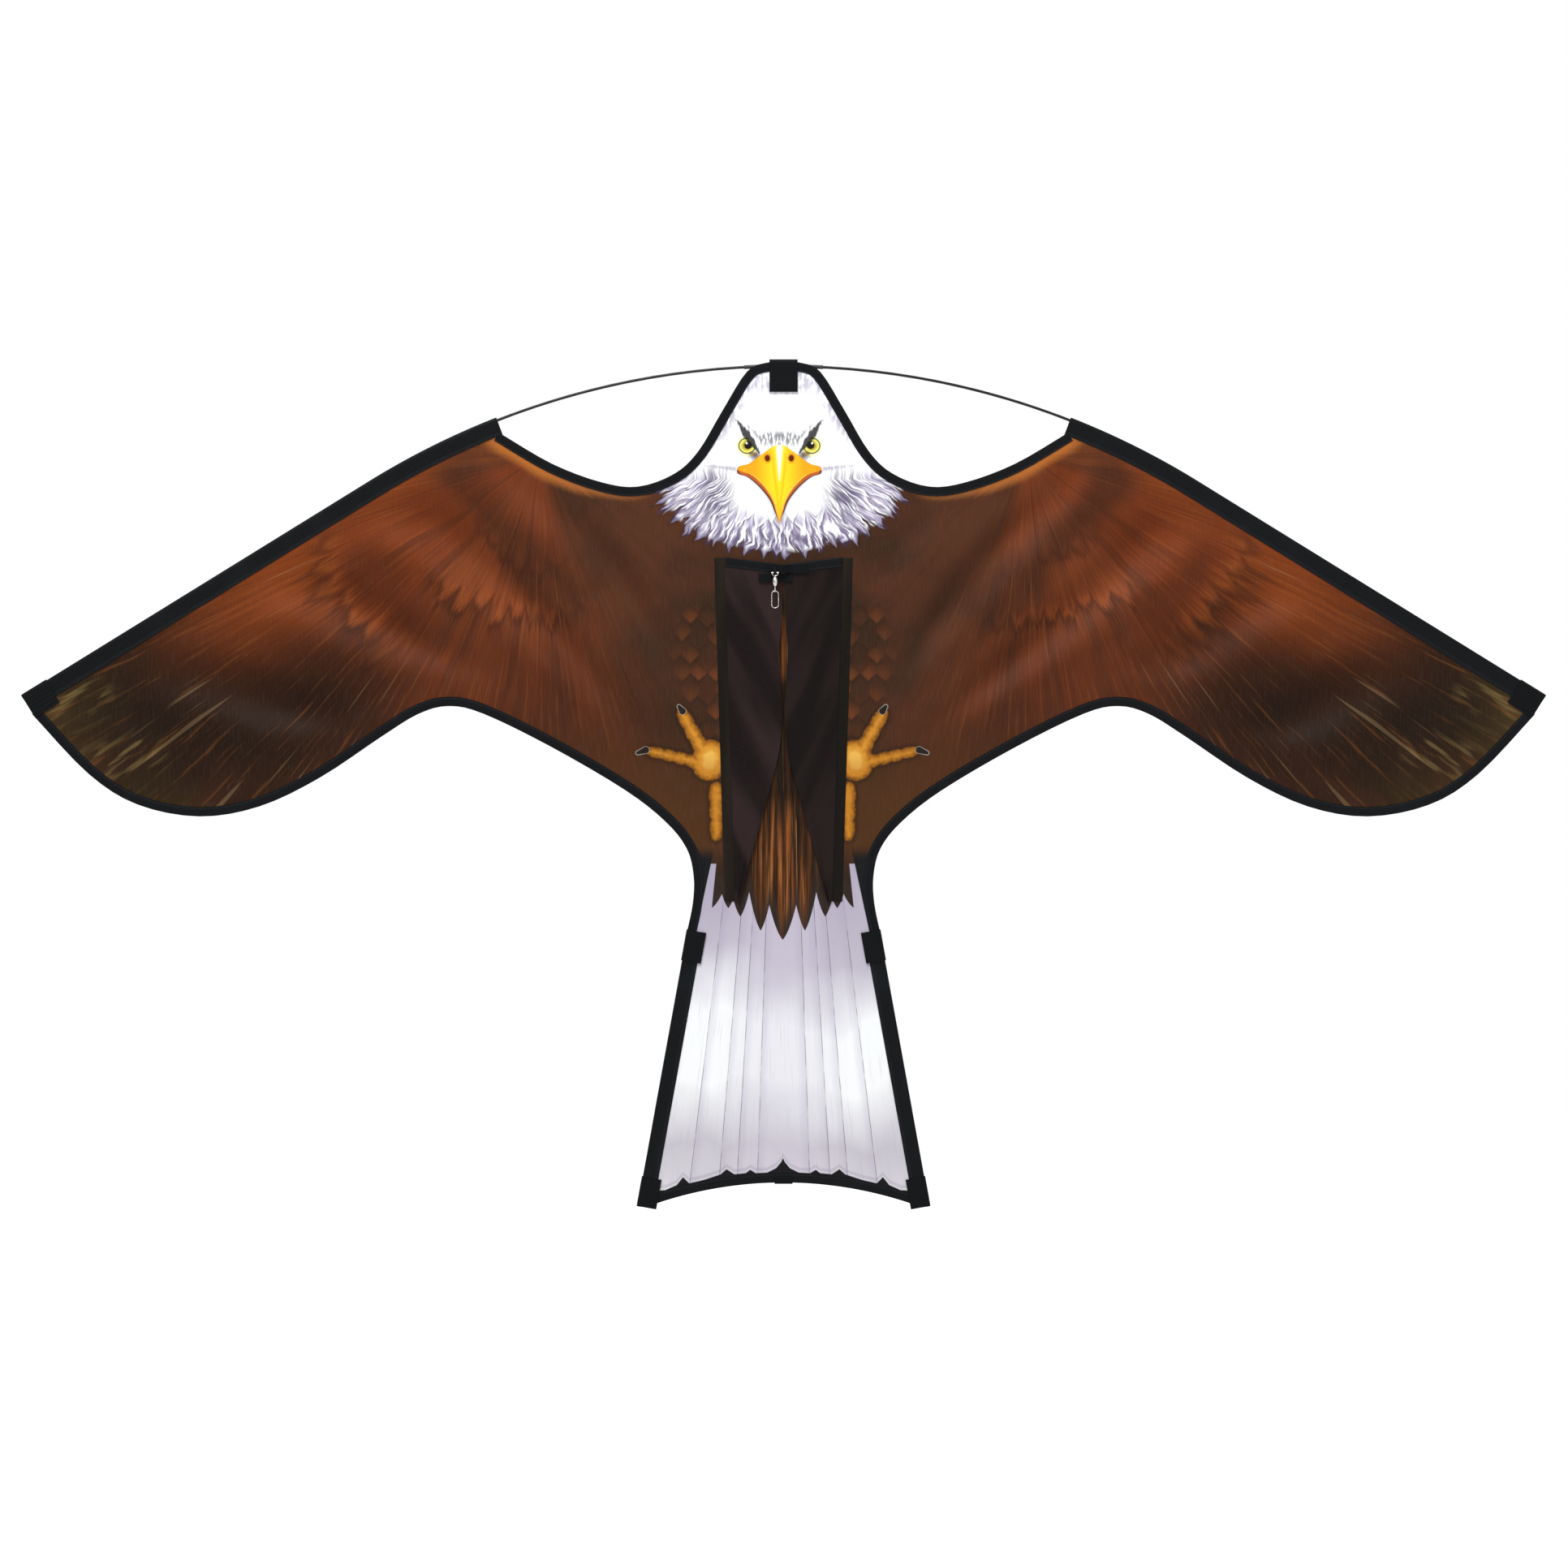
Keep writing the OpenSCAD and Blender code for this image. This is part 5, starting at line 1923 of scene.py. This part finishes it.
@dataclass(frozen=True)
class Keel:
    """Two hanging flaps with their hems, top tapes, tow tabs and tow loop."""

    plan: Plan
    tapes: EdgeTapes
    webbing: Roll
    top_drop: float = 170.0
    length: float = 304.0
    top_half: float = 52.4
    foot_half: float = 43.0
    hem_w: float = 9.0
    hem_swell: float = 0.08
    flap_t: float = 0.5
    rows: int = 121
    columns: int = 31
    sag: float = 6.0
    fold: float = 3.0
    gap: float = 1.2
    foot_w: float = 4.0
    tow_tab_w: float = 7.0
    tow_bar_drop: float = 183.5
    bar_r: float = 0.6
    bar_room: float = 0.03
    eye_r: float = 2.2
    tab_reach: float = 22.0

    @property
    def flap_y(self) -> float:
        """Depth of the flaps, in front of the hems."""
        return -(self.plan.slot_half + self.plan.tape_t + self.plan.gap + self.flap_t / 2)

    @property
    def tab_y(self) -> float:
        """Depth of a tow tab that lies on the top tape."""
        face = self.flap_t - self.flap_y - self.flap_t / 2 + self.plan.fit + self.plan.tape_t
        return -(face + self.plan.gap + self.plan.webbing_t / 2)

    def free_edge(self) -> Points:
        """The right flap's free edge.

        Returns:
            Flat points from the top down.
        """
        shares = np.array([[1, 0], [1, 0.1], [0.99, 0.16], [0.93, 0.24], [0.94, 0.32], [0.99, 0.39],
                           [1, 0.47], [0.92, 0.56], [0.7, 0.67], [0.42, 0.8], [0.2, 0.9], [0, 1]])
        start = self.foot_half - self.foot_w
        across = start + (self.gap - start) * shares[:, 0]
        up = -self.top_drop - self.sag + (self.sag - self.length) * shares[:, 1]
        return drawn(np.stack([across, up], axis=1), 4)

    def seam(self, share: Points) -> Points:
        """Points of the right flap's seam by their share of its length, from the top down."""
        across = self.top_half + (self.foot_half - self.top_half) * share
        return np.stack([across, -self.top_drop - self.length * share], axis=1)

    def flap(self, hand: Side, finish: Material) -> Piece:
        """Hangs a flap from its seam.

        Args:
            hand: which side of the kite.
            finish: its cloth.

        Returns:
            The flap.
        """
        name = hand.word + "_keel_flap"
        piece, row, column = Bench.grid("cloth_" + name, self.rows, self.columns)
        v, w = row / (self.rows - 1), column / (self.columns - 1)
        edge = self.free_edge()
        spot = v * (len(edge) - 1)
        free = np.stack([np.interp(spot, np.arange(len(edge)), edge[:, k]) for k in (0, 1)], axis=1)
        seam = self.seam(v)
        flat = seam + w[:, None] * (free - seam)
        turn, circle = hand.value, 2 * math.pi
        crease = 0.3 * np.cos(circle * (1.4 * v + turn * 0.8 * w))
        ripple = 0.2 * np.cos(circle * (-1.1 * v + 2.1 * w + turn / 4))
        depth = self.fold * smooth_step(v, 0.07, 0.14) * smooth_step(w) * (0.5 - crease - ripple)
        points = standing(flat)
        points[:, 1] = self.flap_y - depth
        points[:, 0] *= hand.value
        Bench.wrap(piece, points, flat)
        Bench.thicken(piece, self.flap_t)
        return Bench.dress(piece, name, hand.word + "_keel", Slot.KEEL, finish)

    def hem(self, hand: Side) -> Piece:
        """Sews the hem strip down outside the seam.

        Args:
            hand: which side of the kite.

        Returns:
            The hem.
        """
        rail = standing(self.seam(np.linspace(0.0, 1.0, 90)) * [hand.value, 1])
        lie = -(self.plan.slot_half + self.plan.tape_t / 2)
        depth = lie - self.hem_swell * np.sin(np.linspace(0, math.pi, 7))
        section = np.stack([np.linspace(0.0, self.hem_w, 7), depth], axis=1)
        name = hand.word + "_keel_hem"
        cloth = KeelFinish(name, "0d0a07", "211a13").finish()
        strip = Roll("tape", self.plan.tape_t, Slot.TAPE, cloth)
        return strip.sew(strip.cut(name, rail, (hand.value, 0.0, 0.0), section), name)

    def top_tape(self, hand: Side) -> Piece:
        """Folds tape over a flap's top edge.

        Args:
            hand: which side of the kite.

        Returns:
            The tape.
        """
        slope = self.sag / self.top_half + (self.top_half - self.foot_half) / self.length
        start = self.top_half - self.plan.gap - self.plan.binding_w * slope
        edge = np.array([[start, -self.top_drop], [self.gap, -self.top_drop - self.sag]])
        edge -= left_of(edge) * (self.plan.tape_t + self.plan.fit)
        half = self.flap_t / 2 + self.plan.fit + self.plan.tape_t / 2
        name = hand.word + "_keel_binding"
        return self.tapes.folded(name, edge * [hand.value, 1], hand.value, half, self.flap_y,
                                 hand.word + "_keel", 0.01)

    def tow_tab(self, hand: Side) -> Piece:
        """Makes the webbing tab at a flap's upper corner.

        Args:
            hand: which side of the kite.

        Returns:
            The tab.
        """
        plan = self.plan
        stand = -TOW_STAND_OFF + self.bar_r + self.bar_room + 1.5 * plan.webbing_t + plan.gap
        top = -self.tow_bar_drop + self.tow_tab_w
        path = [[self.tab_reach, self.tab_y], [15.0, self.tab_y]]
        if hand is Side.RIGHT:
            for share in np.linspace(0.0, 1.0, 13):
                path.append([9.3 - (9.0 + TOW_SIDE / 2) * share,
                             stand + (self.tab_y - stand) * ease_down(share)])
            path += [[-TOW_SIDE, stand], [-TOW_SIDE - 5.0, stand]]
        else:
            top -= self.tow_tab_w + 2 * plan.gap
            path = [[x, self.tab_y] for x in np.linspace(-self.tab_reach, TOW_SIDE, 12)]
        name = hand.word + "_tow_tab"
        piece = self.webbing.cut(name, even_rail(2, top, top - self.tow_tab_w, 8), ACROSS, path)
        return self.webbing.sew(piece, name, hand.word + "_keel")

    def tow_loop(self) -> Piece:
        """Folds the loop round the swivel's top bar and up the tow tab.

        Returns:
            The loop.
        """
        plan = self.plan
        radius = self.bar_r + self.bar_room + plan.webbing_t / 2
        half = math.sqrt((self.eye_r - plan.gap) ** 2 - (radius + plan.webbing_t / 2) ** 2)
        leaf = self.tow_tab_w - plan.gap
        path = [[leaf, radius - plan.webbing_t], [2.8, radius - plan.webbing_t], [1.4, -0.3]]
        for turn in np.linspace(-0.35, math.pi, 14):
            path.append([-radius * math.sin(turn), -radius * math.cos(turn)])
        path += [[1.5, radius], [3.0, radius], [leaf, radius]]
        rail = even_rail(0, -half, half, 6, (-TOW_SIDE, -TOW_STAND_OFF, -self.tow_bar_drop))
        return self.webbing.sew(self.webbing.cut("tow_loop", rail, UP, path), "tow_loop", "right_keel")

    def build(self) -> None:
        """Makes both flaps with all that is sewn to them."""
        # The left flap's cloth is painted lighter than the right's, a painted difference in light on the
        # same cloth.
        cloths = {Side.LEFT: KeelFinish("left_keel_cloth", "0f0908", "2b1e1f", 1.0),
                  Side.RIGHT: KeelFinish("right_keel_cloth", "0a0605", "1e1513", -1.0)}
        for hand in Side:
            flap = self.flap(hand, cloths[hand].finish())
            on_it = [self.top_tape(hand), self.tow_tab(hand)]
            hem = self.hem(hand)
            if hand is Side.RIGHT:
                on_it.append(self.tow_loop())


@dataclass(frozen=True)
class Hardware:
    """Rods, caps, ferrule and tow metal, which keep their solids."""

    rods: tuple[str, ...] = ("left_spar", "right_spar", "spine", "left_tail_rod", "right_tail_rod")
    caps: tuple[str, ...] = ("spar_end_caps", "tail_rod_end_caps", "spine_end_caps")
    ferrules: tuple[str, ...] = ("spar_ferrule",)
    metal: tuple[str, ...] = ("swivel_upper_eye", "swivel_barrel", "swivel_lower_eye",
                              "snap_clip", "snap_gate")

    def build(self) -> None:
        """Gives each solid its finish."""
        groups = ((self.rods, FibreFinish().finish()), (self.caps, CapFinish().finish()),
                  (self.ferrules, FerruleFinish().finish()), (self.metal, NickelFinish().finish()))
        for names, finish in groups:
            for name in names:
                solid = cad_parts[name]
                solid.data.materials.clear()
                solid.data.materials.append(finish)
                LOG.info("%s: %s", name, finish.name)


@dataclass(frozen=True)
class Studio:
    """Pale floor, white ground, soft lamps and the camera."""

    view_wide: float = 1.3881
    middle: tuple[float, float] = (0.0079, -0.156)
    distance: float = 4.0
    sensor: float = 36.0
    floor_z: float = -0.95
    floor_size: float = 14.0
    floor_glow: float = 0.82
    ground_light: float = 0.27
    aim: tuple[float, float, float] = (0.0, 0.0, -0.15)

    def camera(self) -> None:
        """Sets the camera straight in front, at the photograph's framing."""
        lens = bpy.data.cameras.new("camera")
        eye = bpy.data.objects.new("camera", lens)
        bpy.context.scene.collection.objects.link(eye)
        eye.location = (self.middle[0], -self.distance, self.middle[1])
        eye.rotation_euler = (math.pi / 2, 0.0, 0.0)
        lens.sensor_fit = "HORIZONTAL"
        lens.sensor_width = self.sensor
        lens.lens = self.sensor * (self.distance + TOW_STAND_OFF * MM) / self.view_wide
        bpy.context.scene.camera = eye

    def lamps(self) -> None:
        """Hangs two large soft lamps in front and one behind."""
        for name, spot, size, power in (("key", (-0.6, -1.5, 2.8), 1.5, 158.0),
                                        ("fill", (1.6, -3.0, -0.2), 2.4, 20.0),
                                        ("back", (0.6, 2.6, 1.6), 2.2, 46.0)):
            data = bpy.data.lights.new(name, "AREA")
            data.shape = "DISK"
            data.size = size
            data.energy = power
            lamp = bpy.data.objects.new(name, data)
            bpy.context.scene.collection.objects.link(lamp)
            lamp.location = spot
            aim = np.array(self.aim) - np.array(spot)
            tilt = math.atan2(math.hypot(aim[0], aim[1]), -aim[2])
            lamp.rotation_euler = (tilt, 0.0, math.atan2(aim[1], aim[0]) - math.pi / 2)

    def shown(self, tree: bpy.types.NodeTree) -> bpy.types.NodeSocket:
        """Rays that see the ground as a background.

        Args:
            tree: the node tree of the world or the floor.

        Returns:
            One for camera, glossy and transmitted rays, and zero for the rest.
        """
        path = tree.nodes.new("ShaderNodeLightPath")
        seen = path.outputs["Is Camera Ray"]
        for kind in ("Is Glossy Ray", "Is Transmission Ray"):
            either = tree.nodes.new("ShaderNodeMath")
            either.operation = "MAXIMUM"
            tree.links.new(seen, either.inputs[0])
            tree.links.new(path.outputs[kind], either.inputs[1])
            seen = either.outputs[0]
        return seen

    def world(self) -> None:
        """Makes the ground white to the eye and a soft light on the kite."""
        world = bpy.data.worlds.new("ground")
        bpy.context.scene.world = world
        world.use_nodes = True
        tree = world.node_tree
        back = tree.nodes["Background"]
        back.inputs["Color"].default_value = (1.0, 1.0, 1.0, 1.0)
        level = tree.nodes.new("ShaderNodeMapRange")
        level.inputs["To Min"].default_value = self.ground_light
        level.inputs["To Max"].default_value = 1.0
        tree.links.new(self.shown(tree), level.inputs["Value"])
        tree.links.new(level.outputs["Result"], back.inputs["Strength"])

    def floor(self) -> None:
        """Lays a pale floor well below the tail, which keeps the kite's shadow."""
        bpy.ops.object.select_all(action="DESELECT")
        bpy.ops.mesh.primitive_plane_add(size=self.floor_size, location=(0.0, 0.0, 0.0))
        floor = bpy.context.object
        floor.name = "pale_floor"
        for point in floor.data.vertices:
            point.co.z = self.floor_z
        board = Board("pale_floor")
        board.finish("e9e9e9", 0.9)
        board.shader.inputs["Emission Color"].default_value = (1.0, 1.0, 1.0, 1.0)
        glow = board.node("ShaderNodeMath", operation="MULTIPLY")
        glow.inputs[1].default_value = self.floor_glow
        board.tree.links.new(self.shown(board.tree), glow.inputs[0])
        board.tree.links.new(glow.outputs[0], board.shader.inputs["Emission Strength"])
        floor.data.materials.append(board.material)
        floor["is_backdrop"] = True

    def build(self) -> None:
        """Sets the whole studio up."""
        self.camera()
        self.lamps()
        self.world()
        self.floor()
        bpy.context.scene.view_settings.view_transform = "Standard"


def write_sizes() -> None:
    """Measures the solid model's box and the dressed model's box."""
    boxes = {"cad": CAD_BOX, "visual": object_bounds()}
    plain = {key: [[float(n) for n in corner] for corner in box] for key, box in boxes.items()}


def main() -> None:
    """Builds the studio, the cloth, the tapes, the keel and the hardware, in that order."""
    logging.basicConfig(level=logging.INFO, format="%(name)s: %(message)s")
    plan = Plan()
    Studio().build()
    sail = SailCloth(plan).build()
    tape = Roll("tape", plan.tape_t, Slot.TAPE, TapeFinish(stitch_at=(1.3, 16.6)).finish())
    wide = TapeFinish("black_sleeve", "06080a", "15181b", (1.3, 2.7), 0.7).finish()
    sleeve = Roll("tape", plan.tape_t, Slot.TAPE, wide)
    webbing = Roll("webbing", plan.webbing_t, Slot.WEBBING, WebbingFinish().finish())
    tapes = EdgeTapes(plan, tape, sleeve)
    ends = WebbingEnds(plan, webbing)
    on_sail = tapes.build() + ends.build()
    Keel(plan, tapes, webbing).build()
    Hardware().build()
    write_sizes()


if __name__ == "__main__":
    main()
